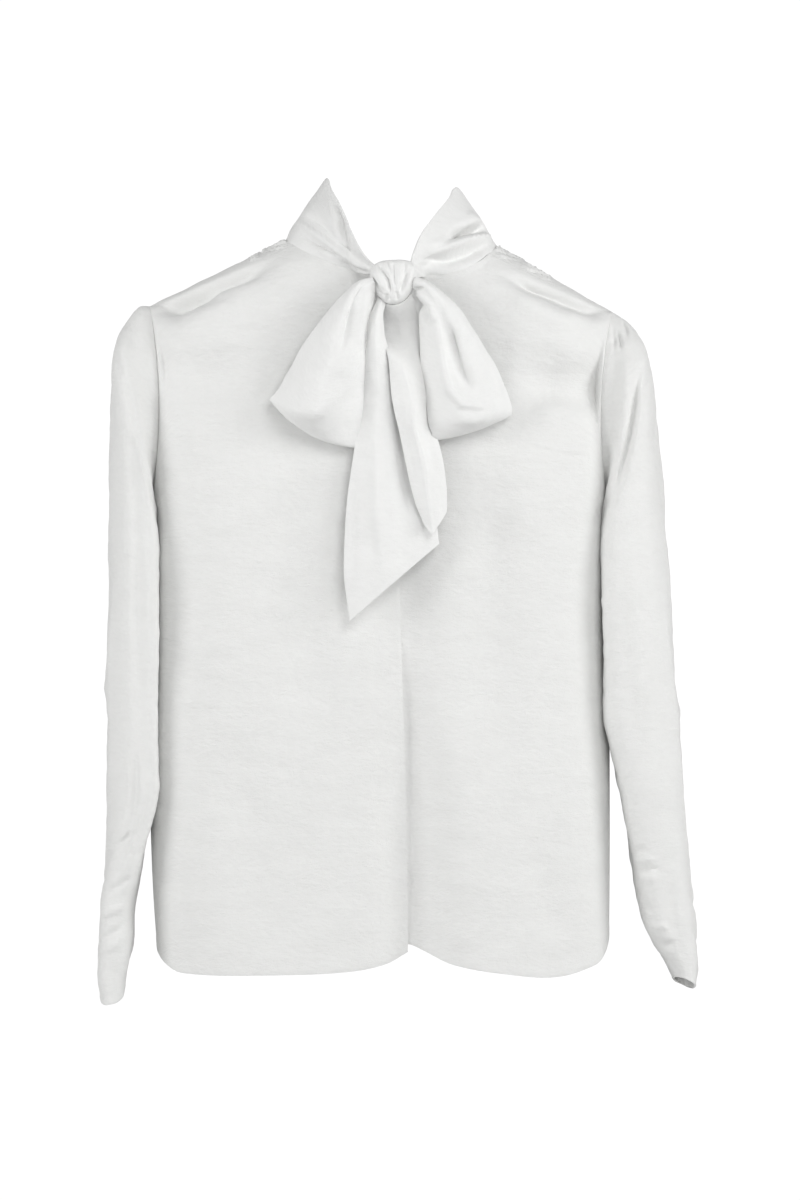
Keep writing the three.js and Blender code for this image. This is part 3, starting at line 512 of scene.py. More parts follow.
# %% Laying the fronts on the form
def front_grid(side, hem):
    """The grid of one front, the share of the way from centre to side, and from neck to hem. The left
    front starts under the lap."""
    lap = LAP_SHARE if side == "left" else 0.0
    u, v = np.meshgrid(np.linspace(0, 1, FRONT_COLUMNS + 1), np.linspace(0, 1, FRONT_ROWS + 1))
    past = np.clip((u - lap) / (1 - lap), 0, 1)
    share = 1 - (1 - past) ** CROWDS_TO_SIDE
    under = FRONT_LAP * np.clip(1 - u / lap, 0, 1) if lap else 0 * u
    tip = SHOULDERS[side]["tip"][0]
    top_x = mix(3, tip, share) - under
    on_neck = np.abs(top_x) <= SEAM_START
    seam = shoulder_line(top_x) - seam_below(top_x)
    top = np.where(on_neck, read(NECK_FRONT, "x", "z", top_x), seam)
    top = top - np.where(np.abs(top_x) < SEAM_START - 1, 0, SEAM_GAP)
    hem_x = mix(read(BODY, "z", "centre", HEM_Z), edge_x(side, np.array(HEM_Z)), share) - under
    bottom = read(hem, "x", "z", hem_x)
    level = mix(v, v * v, CROWDS_TO_TOP)
    z = mix(top, bottom, level)
    x = mix(read(BODY, "z", "centre", z), edge_x(side, z), share) - under
    inset = 0 * x
    if side == "left":
        inset = UNDER_TUCK * (1 - ease((x - read(BODY, "z", "centre", z) - 2) / 20))
    grid = on_body("front", x, z, inset)
    grid[:, -1, 1] = np.minimum(grid[:, -1, 1], -SEAM_GAP / 2)
    return grid, share, level


def seam_below(x):
    """How far below the shoulder line the forward shoulder seam lies."""
    drops = []
    for side in ("right", "left"):
        out = (np.abs(x) - SEAM_START) / (abs(SHOULDERS[side]["tip"][0]) - SEAM_START)
        drops.append(mix(SHOULDERS[side]["seam_drop"], SEAM_DROP_TIP, np.clip(out, 0, 1)))
    return by_side(x, *drops)


for side in ("right", "left"):
    grid, share, level = front_grid(side, HEMS[f"front_{side}"])
    x, z = grid[..., 0], grid[..., 2]
    relief = creases(x, z, FRONT_CREASES) + slow_waves(grid, 1) + small_waves(grid, 2)
    relief *= ease((1 - share) / 0.018) * ease(level / 0.012)
    relief += rolled_hem(level, FRONT_LENGTH)
    hollows = creases(x, z, FRONT_HOLLOWS) * ease((1 - share) / 0.028) * ease(level / 0.025)
    if side == "left":
        relief *= ease((share - 0.02) / 0.1)
        hollows = hollows * ease(share / 0.05) + creases(x, z, CENTRE_VALLEY)
    out = np.broadcast_to(FORWARD, grid.shape)
    panel = cut_cloth(f"front_panel_{side}", grid, out, BODY_WALL, -1, relief, pressed=hollows)
    dress(panel, f"front_{side}")

# %% [markdown]
# ## The back
#
# The back is one piece with a strip over each shoulder, so that the shoulder seam lies a little to the
# front. It is gathered into that seam beside the neck. Its grid fans out: a column starts on the neck seam
# or on the forward seam, comes over the shoulder line, and runs down to the hem. The hidden side gets folds
# like those of the fronts.

# %% Creases of the back
BACK_CREASES = [
    ([(-186, -76), (-150, -60), (-120, -44)], 10, -3.5),
    ([(172, -80), (140, -62), (112, -46)], 9, -3.8),
    ([(-204, -92), (-196, -120), (-190, -150)], 12, -5.0),
    ([(186, -96), (180, -124), (174, -156)], 12, -5.0),
    ([(-104, -40), (-112, -110), (-116, -230)], 7, 2.2),
    ([(-92, -46), (-96, -100), (-98, -160)], 5, -1.8),
    ([(104, -44), (110, -120), (118, -250)], 7, 2.4),
    ([(122, -56), (128, -110), (138, -190)], 6, -1.8),
    ([(-60, -60), (0, -74), (58, -64)], 9, 1.8),
    ([(-66, -78), (-6, -94), (64, -82)], 10, -1.6),
    ([(-150, -240), (-146, -420), (-150, -610)], 20, 2.0),
    ([(-90, -280), (-82, -460), (-88, -630)], 22, -2.4),
    ([(-30, -200), (-24, -400), (-30, -620)], 20, 2.0),
    ([(34, -240), (38, -430), (30, -620)], 20, -2.2),
    ([(92, -260), (96, -440), (92, -620)], 22, 2.2),
    ([(150, -230), (146, -400), (154, -600)], 20, -2.0),
    ([(-196, -180), (-150, -240), (-110, -330)], 12, 1.6),
    ([(180, -176), (140, -250), (104, -350)], 12, 1.8),
]
BACK_STRENGTH = 1.5
OVER_SHOULDER = 14
BACK_ROWS = 210
BACK_LENGTH = 620
BACK_CROWDS_TO_TOP = 0.65
BACK_NECK_COLUMNS = 24
GATHER_COLUMN = 1.6
SIDE_COLUMNS = 22
GATHER_START = 91
GATHER_HEIGHT = 1.5
GATHER_PITCH = 8
GATHER_SLANT = 1.5
GATHER_FADE = 90
RIDGE_FORWARD = 12


# %% Laying the back on the form
def gather(x, forward, down):
    """Waves along the shoulder beside the neck. They slant outwards and die out down the back."""
    here = np.abs(x)
    end = by_side(x, SHOULDERS["right"]["gathers_end"], SHOULDERS["left"]["gathers_end"]) + 6
    turn = (here - GATHER_START - GATHER_SLANT * forward) / GATHER_PITCH
    wave = np.cos(2 * np.pi * turn) + 0.35 * np.cos(2 * np.pi * turn * 0.63 + 1)
    inside = ease((here - GATHER_START) / 3) * ease((end - here) / 10)
    return GATHER_HEIGHT * wave * inside * ease(forward / 4) * (1 - ease(down / GATHER_FADE))


def back_stations(side):
    """Where each column starts on a seam and crosses the shoulder line: (start x, ridge x, which seam).
    They go from the back of the neck round its corner, closely through the gathers, and on to the tip."""
    end = SHOULDERS[side]["gathers_end"]
    tip = abs(SHOULDERS[side]["tip"][0])
    stations = [(x, x * (1 + 1 / 45), "back") for x in np.linspace(4, 92.3, BACK_NECK_COLUMNS)]
    stations += [(x, mix(95.5, 102, (93 - x) / 6), "neck") for x in (93, 91, 89)]
    stations += [(x, mix(102.6, 106, (x - SEAM_START) / 2.5), "seam") for x in (SEAM_START, 87.8, 89)]
    for x in np.arange(106, end + 4, GATHER_COLUMN):
        stations.append((mix(90, x, min((x - 105) / 14, 1)), x + 2, "seam"))
    outwards = 1 - (1 - np.linspace(0, 1, SIDE_COLUMNS)) ** 1.4
    stations += [(x, x, "seam") for x in mix(end + 8, tip, outwards)]
    return stations


def back_column(side, start_x, ridge_x, seam):
    """One column of the back, from its seam over the shoulder to the hem."""
    sign = 1 if side == "left" else -1
    start_x, ridge_x = sign * start_x, sign * ridge_x
    share = ridge_x / SHOULDERS[side]["tip"][0]
    t = np.linspace(0, 1, OVER_SHOULDER + 1)[:-1]
    x = mix(start_x, ridge_x, t)
    if seam == "back":
        z = read(NECK_BACK, "x", "z", start_x)
        top = z - 4
        over = on_body("back", x, z - 4 * t)
        lift = 0 * t
    else:
        line = shoulder_line(np.array(start_x))
        start_z = line - seam_below(np.array(start_x))
        if seam == "neck":
            start_z = read(NECK_FRONT, "x", "z", start_x)
        over = on_body("front", x, shoulder_line(x) - (line - start_z) * (1 - t * (2 - t)))
        lift = gather(x, np.abs(over[:, 1] - over[0, 1]), 0)
        top = shoulder_line(np.array(ridge_x)) - 0.01
    hem = read(HEMS["back"], "x", "z", share * edge_x(side, np.array(HEM_Z)))
    v = np.linspace(0, 1, BACK_ROWS + 1)
    z = mix(top, hem, mix(v, v * v, BACK_CROWDS_TO_TOP))
    x = share * edge_x(side, z)
    down = on_body("back", x, z)
    fall = gather(x, RIDGE_FORWARD, top - z) if seam != "back" else 0 * z
    if share > 0.9999:
        down[:, 1] = np.where(z < UNDERARM + 1, np.maximum(down[:, 1], SEAM_GAP / 2), down[:, 1])
    return np.concatenate([over, down]), np.concatenate([lift, fall])


def back_grid():
    """All columns of the back side by side, and the height of the gathers on them."""
    columns = [back_column("right", *station) for station in reversed(back_stations("right"))]
    columns.append(back_column("left", 0.001, 0.001, "back"))
    columns += [back_column("left", *station) for station in back_stations("left")]
    grid = np.stack([column for column, lift in columns], axis=1)
    return grid, np.stack([lift for column, lift in columns], axis=1)


grid, lift = back_grid()
x, z = grid[..., 0], grid[..., 2]
row = np.arange(grid.shape[0])[:, None]
past_ridge = ease((row - OVER_SHOULDER) / 24)
relief = (BACK_STRENGTH * creases(x, z, BACK_CREASES) + slow_waves(grid, 5)) * past_ridge
relief += small_waves(grid, 6) * ease(row / 8)
edge = np.abs(x) / np.abs(by_side(x, edge_x("right", z), edge_x("left", z)))
relief *= ease((1 - edge) / 0.03)
relief += lift + rolled_hem(np.clip((row - OVER_SHOULDER) / BACK_ROWS, 0, 1) ** 1.6, BACK_LENGTH)
back_piece = cut_cloth("back_panel", grid, np.broadcast_to(-FORWARD, grid.shape), BODY_WALL, -1, relief)
dress(back_piece, "back")

# %% [markdown]
# ## The sleeves
#
# A sleeve is a tube whose rings turn from upright at the armhole to level at the wrist. Each row of its
# pattern has the outer and inner line, the depth to front and back, how far the front and back lines shift
# across, and how far the front rises. It hangs straight down, slim from the front and deep from the side,
# with a hollow at the outer head, a long fold line, and wrinkles where the cloth settles above the wrist.
# Its inner front side lies on the edge of the body.

# %% Sleeve patterns and creases
SLEEVES = {
    "right": [
        (-214.3, -56, -214, -235, 38, 38, 9, 9, 0),
        (-224, -57.5, -214.6, -237, 42, 42, 6, 5, 0),
        (-235, -70, -215.6, -241, 48, 48, 2, 2, 0),
        (-243, -84, -216.5, -247, 54, 54, 1, 0, 0),
        (-248, -108, -217, -256, 58, 58, 3, 0, 0),
        (-248.5, -145, -217, -270, 60, 61, 6, 2, 0),
        (-250, -195, -217, -292, 62, 63, 8, 3, 0),
        (-251, -250, -217, -322, 62, 63, 10, 3, 0),
        (-251.5, -310, -217, -352, 60, 62, 11, 2, 0),
        (-253, -385, -217, -400, 57, 60, 12, 2, 0),
        (-252.5, -440, -217, -446, 55, 58, 12, 1, 0),
        (-252.5, -488, -216.5, -490, 53, 56, 12, 0, 0),
        (-252.5, -522, -217, -522, 51, 54, 8, 0, 0),
        (-253.5, -550, -221, -550, 50, 52, 3, 0, 0),
        (-258, -588, -227, -586, 48, 50, -2, 0, 0),
        (-258, -622, -228, -619, 47, 49, -3, 2, 0),
        (-259.6, -646, -233.4, -642, 47, 48, -2, 2, -4),
        (-257.2, -664, -236.2, -659, 48, 48, 0, 0, -12),
    ],
    "left": [
        (196.8, -61, 193.6, -235, 38, 38, -9, -9, 0),
        (208, -68, 194.5, -238, 42, 42, -5, -5, 0),
        (219, -80, 195.5, -243, 48, 48, -1, -2, 0),
        (227, -97, 196.5, -250, 54, 54, 1, 0, 0),
        (232, -125, 196.5, -262, 58, 58, 0, 0, 0),
        (235, -160, 196.5, -280, 60, 61, -4, 0, 0),
        (239, -212, 196.5, -305, 61, 63, -7, -2, 0),
        (245, -275, 196.5, -335, 60, 62, -9, -2, 0),
        (249.5, -340, 196.5, -370, 58, 60, -8, -2, 0),
        (253.4, -400, 196.5, -415, 56, 58, -6, 0, 0),
        (257.5, -457, 198, -462, 54, 56, -4, 0, 0),
        (260, -490, 203.5, -490, 52, 54, -3, 0, 0),
        (262.3, -523, 209, -523, 50, 52, -2, 0, 0),
        (265, -556, 213.8, -554, 49, 50, 0, 0, 1),
        (270, -598, 221, -594, 48, 49, 2, 0, 1),
        (271, -628, 231, -619, 48, 48, 4, 0, 2),
        (270.5, -647, 243, -637, 48, 48, 4, 0, 3),
        (269, -661, 251, -652, 48, 48, 3, 0, 4),
    ],
}
SLEEVE_COLUMNS = ("ox", "oz", "ix", "iz", "front", "back", "shift_front", "shift_back", "rise")
SLEEVE_CREASES = {
    ("right", "front"): [
        ([(-248, -84), (-243, -102), (-238, -122)], 3.4, -2.6),
        ([(-237, -118), (-231, -143), (-227, -180), (-225, -211), (-223, -316), (-222, -388),
          (-220, -475)], 5.0, -1.5),
        ([(-229, -112), (-222, -145), (-219, -185), (-218, -230)], 6, 2.2),
        ([(-236, -62), (-230, -78), (-226, -98)], 5, -1.2),
        ([(-244, -150), (-242, -220), (-241, -300)], 5.0, -0.8),
        ([(-222, -440), (-220, -485), (-223, -510), (-226, -521), (-231, -540), (-237, -560),
          (-244, -569)], 2.2, 1.1),
        ([(-226, -440), (-225, -485), (-229, -512), (-236, -537), (-243, -556)], 3.6, -0.9),
        ([(-222, -518), (-242, -534), (-260, -543)], 2.6, -1.4),
        ([(-226, -560), (-244, -571), (-262, -578)], 3.0, -1.4),
        ([(-228, -584), (-242, -590), (-262, -598)], 2.8, 1.2),
        ([(-226, -596), (-242, -608), (-264, -622)], 2.6, -1.3),
        ([(-224, -606), (-240, -619), (-262, -632)], 3.6, 1.0),
    ],
    ("right", "back"): [
        ([(-240, -88), (-236, -112), (-230, -134)], 7, -5.0),
        ([(-232, -130), (-226, -190), (-224, -280), (-226, -380)], 5, -3.0),
        ([(-243, -190), (-240, -270), (-243, -350)], 7, 2.0),
        ([(-221, -372), (-234, -384), (-248, -380)], 5, -3.2),
        ([(-222, -396), (-234, -404), (-247, -402)], 5, 2.4),
        ([(-224, -420), (-238, -430), (-249, -436)], 5, -2.4),
        ([(-226, -520), (-240, -534), (-252, -532)], 5, -2.4),
        ([(-230, -560), (-243, -570), (-254, -566)], 4, 2.0),
        ([(-234, -600), (-246, -610), (-256, -604)], 4, -1.8),
    ],
    ("left", "front"): [
        ([(225, -86), (231, -103), (229, -122), (221, -142)], 4.0, -3.6),
        ([(221, -112), (217, -124), (214, -150), (209, -180), (202, -211), (196, -232)], 3.2, -3.6),
        ([(206, -92), (206, -124), (203, -160), (199, -190)], 7, 2.8),
        ([(199, -78), (202, -86), (204, -96)], 1.6, -1.8),
        ([(204, -68), (208, -76), (210, -84)], 1.6, -1.8),
        ([(195, -72), (197, -84), (198, -96)], 1.6, -1.4),
        ([(209, -66), (214, -74), (218, -82)], 1.8, -1.2),
        ([(236, -180), (240, -260), (245, -340)], 8, -1.6),
        ([(214, -280), (220, -360), (226, -440)], 10, 1.4),
        ([(201, -538), (213, -539), (228, -536)], 2.4, -1.5),
        ([(206, -546), (220, -547), (236, -545)], 2.2, 1.3),
        ([(210, -554), (224, -556), (240, -553)], 2.2, -1.5),
        ([(214, -562), (226, -564), (236, -562)], 2.4, 1.2),
        ([(214, -584), (222, -589), (232, -590)], 3.0, -1.6),
        ([(223, -602), (232, -606), (246, -604)], 3.4, 1.5),
        ([(228, -616), (240, -622), (252, -620)], 3.4, -2.0),
        ([(252, -540), (256, -580), (258, -620)], 6, 1.2),
    ],
    ("left", "back"): [
        ([(222, -92), (224, -116), (218, -146)], 7, -5.5),
        ([(216, -140), (210, -200), (212, -280), (220, -360)], 5, -3.0),
        ([(234, -180), (238, -260), (246, -350)], 7, 2.0),
        ([(206, -366), (224, -380), (244, -374)], 5, -3.2),
        ([(206, -388), (226, -400), (248, -398)], 5, 2.6),
        ([(208, -412), (228, -424), (252, -426)], 5, -2.6),
        ([(216, -520), (234, -536), (256, -530)], 5, -2.4),
        ([(222, -560), (240, -572), (262, -566)], 4, 2.0),
        ([(230, -596), (246, -608), (264, -600)], 4, -1.8),
    ],
}
# y and z on the outer side. The elbow of the left sleeve is lower by 19 mm.
OUTER_LOWER = {"right": 0, "left": 19}
OUTER_CREASES = [
    ([(-34, -130), (-10, -190), (6, -262)], 8, -3.2),
    ([(28, -112), (20, -176), (4, -236)], 7, 2.6),
    ([(44, -346), (12, -372), (-22, -364)], 7, -1.6),
    ([(44, -370), (8, -397), (-26, -392)], 7, 1.4),
    ([(40, -398), (8, -422), (-18, -426)], 7, -1.2),
    ([(-36, -290), (-30, -400), (-26, -520)], 9, 2.2),
    ([(24, -440), (16, -500), (20, -560)], 8, -2.0),
    ([(-34, -556), (-4, -572), (30, -566)], 5, -2.2),
    ([(-36, -592), (-4, -606), (32, -600)], 5, -2.2),
    ([(-26, -620), (6, -634), (34, -626)], 5, 1.8),
]
# where a sleeve comes to lie on the body's edge, how far over it, and where it leaves it again
LIES_FROM = -234
LIES_IN = 9
LIES_ON_BODY = {"right": -540, "left": -474}
SLEEVE_FOLDS = 2.1
SLEEVE_ROUND = 112
SLEEVE_ROWS = 230
SLEEVE_LENGTH = 560
SLEEVE_BOXY = 0.66
SEWN_IN = {"across": 0.9, "deep": 0.5}


# %% Smooth curves through pattern rows
def through(rows, count):
    """A smooth curve through rows of points, with `count` points spread over the rows."""
    rows = np.array(rows, float)
    padded = np.concatenate([[2 * rows[0] - rows[1]], rows, [2 * rows[-1] - rows[-2]]])
    at = np.linspace(0, 1, count) * (len(rows) - 1)
    i = np.minimum(at.astype(int), len(rows) - 2)
    t = (at - i).reshape((-1,) + (1,) * (rows.ndim - 1))
    p0, p1, p2, p3 = padded[i], padded[i + 1], padded[i + 2], padded[i + 3]
    bend = 2 * p0 - 5 * p1 + 4 * p2 - p3
    twist = 3 * (p1 - p2) + p3 - p0
    return 0.5 * (2 * p1 + (p2 - p0) * t + bend * t**2 + twist * t**3)


# %% Laying the sleeves on the form
def sleeve_grid(side):
    """The rings of a sleeve, which way each point faces, and how far it lies to the front and outside.
    From a round armhole the rings soon turn boxy, as cloth over an arm that hangs beside the body."""
    rows = through(SLEEVES[side], SLEEVE_ROWS + 1)
    ring = {name: rows[:, k][:, None] for k, name in enumerate(SLEEVE_COLUMNS)}
    turn = np.linspace(0, 2 * np.pi, SLEEVE_ROUND + 1)[None, :]
    down = np.linspace(0, 1, SLEEVE_ROWS + 1)[:, None]
    boxy = mix(1.0, SLEEVE_BOXY, ease(down / 0.22))
    c, s = (np.sign(f) * np.abs(f) ** boxy for f in (np.cos(turn), np.sin(turn)))
    shift = np.where(s > 0, ring["shift_front"], ring["shift_back"]) * s * s
    x = mix(ring["ix"], ring["ox"], (1 + c) / 2) + shift
    z = mix(ring["iz"], ring["oz"], (1 + c) / 2) + ring["rise"] * s
    y = -s * np.where(s > 0, ring["front"], ring["back"])
    middle_x, middle_z = mix(ring["ix"], ring["ox"], 0.5), mix(ring["iz"], ring["oz"], 0.5)
    middle = np.stack([middle_x, 0 * middle_x, middle_z], axis=-1)
    inner_z = ring["iz"]
    near_body = ease((LIES_FROM - inner_z) / 11) * ease((inner_z - LIES_ON_BODY[side]) / 60)
    toward = -1 if side == "left" else 1
    inwards = LIES_IN * (1 + 0.35 * hump(inner_z, -270, 35)) * near_body
    x = x + toward * inwards * ease(2 * np.abs(s)) * (1 - c) / 2
    sewn_in = 1 - ease(down * 30)
    x = x - SEWN_IN["across"] * np.sign(x) * sewn_in
    y = y + SEWN_IN["deep"] * s * sewn_in
    grid = np.stack([x, y, z], axis=-1)
    return grid, grid - middle, s, c


for side in ("right", "left"):
    grid, out, s, c = sleeve_grid(side)
    x, y, z = grid[..., 0], grid[..., 1], grid[..., 2]
    level = np.linspace(0, 1, SLEEVE_ROWS + 1)[:, None]
    front = creases(x, z, SLEEVE_CREASES[side, "front"]) * ease((s + 0.15) / 0.5)
    back = creases(x, z, SLEEVE_CREASES[side, "back"]) * ease((-s + 0.1) / 0.5)
    pressed = (back - front) * SLEEVE_FOLDS * ease(level / 0.03)
    relief = unevenness(grid, 45, 1.6, 11) + unevenness(grid, 22, 0.7, 12, 2.0)
    relief += unevenness(grid, 10, 0.25, 13, 2.4)
    relief += creases(y, z + OUTER_LOWER[side], OUTER_CREASES) * ease((c - 0.1) / 0.6)
    relief *= ease(level / 0.05) * mix(1, 0.5, ease((level - 0.93) / 0.07))
    relief += rolled_hem(level, SLEEVE_LENGTH, 0.45)
    tube = cut_cloth(f"sleeve_tube_{side}", grid, out, BODY_WALL, -1, relief, around=True, pressed=pressed)
    dress(tube, f"sleeve_{side}")

# %% [markdown]
# ## The neck band
#
# The band is one doubled strip about 75 mm wide. Its lower edge is sewn round the neck, and its upper edge
# stands up at the sides in two points and folds down behind. In front both stretches are drawn into the
# knot, which pulls ridges across them. Its rows go round the neck; each has the foot on the seam, the crest
# and the free edge.

# %% Band pattern and creases
KNOT = {"x": 2, "y": -84, "z": -38, "wide": 19.5, "deep": 14.5, "tall": 19.5, "taper": 0.28, "skin": 0.7}
# a root row is three points on the knot; the others give the seam and the x on it, the crest, the free
# edge, and how wide the fold at the crest is
BAND = [
    ("root", [-16.5, -79, -31], [-17, -80, -26], [-17, -80, -21]),
    ("front", -30, [-28, -70, -20], [-25, -76, -12], 0),
    ("front", -50, [-45, -62, -4], [-35.5, -64, 9], 0),
    ("front", -72, [-61, -47, 12], [-45.5, -45, 31], 0),
    ("front", -88, [-74, -26, 24], [-53, -24, 47], 0),
    ("front", -93, [-78, -3, 28], [-57.6, -3, 56.3], 0),
    ("back", -91, [-69, 13, 37], [-75, 17, 32], 1.2),
    ("back", -84, [-71, 30, 15], [-93, 38, 5], 2.2),
    ("back", -66, [-59, 41, -2], [-84, 60, -26], 3),
    ("back", -38, [-36, 48, -14], [-50, 70, -49], 3),
    ("back", 0, [0, 50, -19], [0, 73, -58], 3),
    ("back", 38, [36, 48, -15], [50, 70, -49], 3),
    ("back", 66, [59, 41, -3], [82, 60, -28], 3),
    ("back", 84, [71, 30, 12], [88, 38, 2], 2.2),
    ("back", 91, [68, 13, 30], [74, 17, 26], 1.2),
    ("front", 93, [77, -3, 23], [58.1, -3, 48.4], 0),
    ("front", 88, [72, -26, 19], [51, -24, 39], 0),
    ("front", 72, [57, -47, 5], [39.5, -45, 24], 0),
    ("front", 50, [42, -62, -9], [27, -64, 6], 0),
    ("front", 30, [26, -70, -20], [21, -76, -9], 0),
    ("root", [21, -79, -34], [22, -80, -26], [21, -80, -18]),
]
BAND_CREASES = [
    ([(-88, 22), (-64, 4), (-40, -14), (-15, -29)], 2.0, 3.2),
    ([(-84, 8), (-62, -6), (-42, -18), (-20, -28)], 2.8, -4.0),
    ([(-80, -5), (-55, -12), (-33, -21), (-14, -28)], 2.2, 3.4),
    ([(-84, 28), (-62, 14), (-44, -4), (-26, -20)], 4.0, -3.0),
    ([(-54, 46), (-44, 20), (-40, 0), (-36, -18)], 3.0, -5.5),
    ([(-58, 36), (-50, 14), (-46, -8)], 2.6, 1.4),
    ([(50, 2), (60, 7), (72, 12), (90, 14)], 3.6, -15.0),
    ([(40, -10), (64, -1), (92, 6)], 3.4, 6.5),
    ([(24, -20), (52, -18), (76, -9), (92, -2)], 6.0, -8.5),
    ([(66, 26), (74, 20), (82, 14)], 4.0, 1.6),
    ([(24, -19), (40, -23), (56, -20)], 1.8, 0.9),
    ([(24, -25), (38, -21), (52, -24)], 1.8, -0.9),
    ([(30, -6), (44, -2), (54, 6)], 3.0, 1.2),
]
BAND_COLUMNS = 40
BAND_ROWS = 300
HALVINGS = 40


# %% Laying the band on the form
def on_knot(point):
    """Moves a point along its line from the knot's middle until it lies just clear of the knot."""
    middle = np.array([KNOT["x"], KNOT["y"], KNOT["z"]], float)
    away = np.array(point, float) - middle
    low, high = 0.0, 4.0
    for _ in range(HALVINGS):
        k = (low + high) / 2
        z = away[2] * k / KNOT["tall"]
        wide = KNOT["wide"] * (1 + KNOT["taper"] * z)
        inside = (away[0] * k / wide) ** 2 + (away[1] * k / KNOT["deep"]) ** 2 + z * z < 1
        low, high = (k, high) if inside else (low, k)
    return middle + away * (low + (KNOT["skin"] + SEAM_GAP) / np.linalg.norm(away))


def parabola(a, m, b, v):
    """The smooth line from a through m to b."""
    a, m, b = np.array(a, float), np.array(m, float), np.array(b, float)
    v = v[:, None]
    return a * (1 - v) * (1 - 2 * v) + m * 4 * v * (1 - v) + b * v * (2 * v - 1)


def band_row(row):
    """Seven points across the band, from its foot over the crest to the free edge."""
    if row[0] == "root":
        return [on_knot(p) for p in parabola(*row[1:], np.linspace(0, 1, 7))]
    face, seam_x, crest, edge, fold = row
    neck = NECK_FRONT if face == "front" else NECK_BACK
    seam = on_body(face, np.array(float(seam_x)), read(neck, "x", "z", seam_x))
    inwards = np.array([-seam[0], -seam[1], 0]) / np.hypot(seam[0], seam[1])
    foot = seam + inwards * 0.25 - [0, 0, 0.7]
    crest, edge = np.array(crest, float), np.array(edge, float)
    out = np.array([crest[0], crest[1], 0]) / np.hypot(crest[0], crest[1]) * fold
    stand, fall = crest - out - [0, 0, fold], crest + out - [0, 0, fold]
    if not fold:
        return [foot, mix(foot, crest, 0.5), mix(foot, crest, 0.85), crest, mix(crest, edge, 0.15),
                mix(crest, edge, 0.55), edge]
    return [foot, mix(foot, stand, 0.5), stand, crest, fall, mix(fall, edge, 0.55), edge]


long_way = through([band_row(row) for row in BAND], BAND_ROWS + 1)
grid = through(long_way.transpose(1, 0, 2), BAND_COLUMNS + 1).transpose(1, 0, 2)
x, y, z = grid[..., 0], grid[..., 1], grid[..., 2]
to_front = ease((-y - 4) / 14)
ends = np.linspace(0, 1, BAND_ROWS + 1)[:, None]
relief = creases(x, z, BAND_CREASES) * to_front
relief += (unevenness(grid, 24, 1.6, 21) + unevenness(grid, 9, 0.4, 22)) * (1 - 0.5 * to_front)
relief *= ease(ends / 0.03) * ease((1 - ends) / 0.03)
relief *= ease(np.linspace(0, 1, BAND_COLUMNS + 1)[None, :] / 0.12)
out = np.stack([x, y, 0 * z + 6], axis=-1)
band = cut_cloth("neck_band_cloth", grid, out, BAND_WALL, 0, relief)
dress(band, "neck_band", double_painted_lighter=True)

# %% [markdown]
# ## The bow
#
# Each loop is a stretch of the band that leaves the knot, bends at the bottom and comes back behind itself.
# Each tail is an end of the band that hangs from the knot, folded along its length and cut on the slant. A
# piece is a strip: a row lies across it from edge over middle to edge, and a smooth curve runs through the
# rows.

# %% Bow patterns
BOW_ROWS = {"loop": 190, "back tail": 200, "front tail": 160}
BOW_COLUMNS = {"loop": 44, "back tail": 44, "front tail": 36}
LOOP_RIGHT = [
    ([-17, -92, -34], [-18, -94, -39], [-16, -91, -44]),
    ([-30, -92, -39], [-26.5, -98, -47], [-15, -82, -54]),
    ([-46.6, -88, -54.6], [-37, -101, -66], [-15, -77, -72]),
    ([-61.6, -84, -73], [-46, -103, -89], [-16, -75, -90]),
    ([-79, -80, -95], [-55, -103, -116], [-17, -75, -107]),
    ([-98, -78, -131], [-66, -100, -148], [-20, -76, -124]),
    ([-105, -76, -139], [-69, -90, -164], [-24, -78, -152]),
    ([-105.5, -73.5, -140.5], [-71, -79, -170], [-30, -77, -181]),
    ([-103, -71.5, -137], [-70, -72.5, -165], [-27, -72.5, -174]),
    ([-80, -70.5, -100], [-54, -70.5, -120], [-17, -70.5, -128]),
    ([-48, -72, -60], [-36, -72, -70], [-18, -72, -80]),
    ([-19, -79, -41], [-18, -79, -45], [-16, -79, -49]),
]
LOOP_LEFT = [
    ([22, -90, -34], [22, -93, -38], [21, -90, -43]),
    ([31, -93, -37.5], [31, -99, -45], [25, -84, -54]),
    ([44, -90, -48], [40, -101, -57], [25, -80, -70]),
    ([58, -86, -60], [45, -102, -75], [26, -77, -88]),
    ([75, -82, -85], [51, -101, -104], [27, -76, -110]),
    ([93, -79, -115], [61, -99, -134], [31, -77, -136]),
    ([104, -77, -142], [70, -95, -156], [33, -79, -160]),
    ([105.6, -74, -152], [75, -81, -167], [36, -78, -172]),
    ([103, -71.5, -148], [71, -72.5, -163], [30, -72.5, -174]),
    ([85, -70.5, -108], [58, -70.5, -125], [24, -71, -134]),
    ([50, -72, -58], [41, -72.5, -70], [27, -73, -82]),
    ([23, -79, -41], [22, -79, -46], [20, -79, -50]),
]
TAIL_BACK = [
    ([-12, -84, -53], [-9.5, -86, -56], [-6, -84, -58]),
    ([-18, -83, -68], [-13, -89, -69], [-7.5, -83, -70]),
    ([-21.5, -82, -90], [-14, -89, -91], [-4, -78, -92]),
    ([-22.5, -81, -110], [-13, -86, -110], [4, -76, -110]),
    ([-23, -79, -127], [-12, -84, -127], [8, -77, -127]),
    ([-27, -78, -155], [-9, -83, -156], [14, -77, -156]),
    ([-32.6, -77, -190], [-8, -84, -192], [20, -77, -192]),
    ([-38.7, -77, -232], [-6, -84, -232], [31, -75, -225]),
    ([-41, -78, -291], [-3, -84, -272], [39.5, -76, -250]),
    ([-36, -79, -335], [3, -83, -301], [42.2, -76, -267.5]),
]
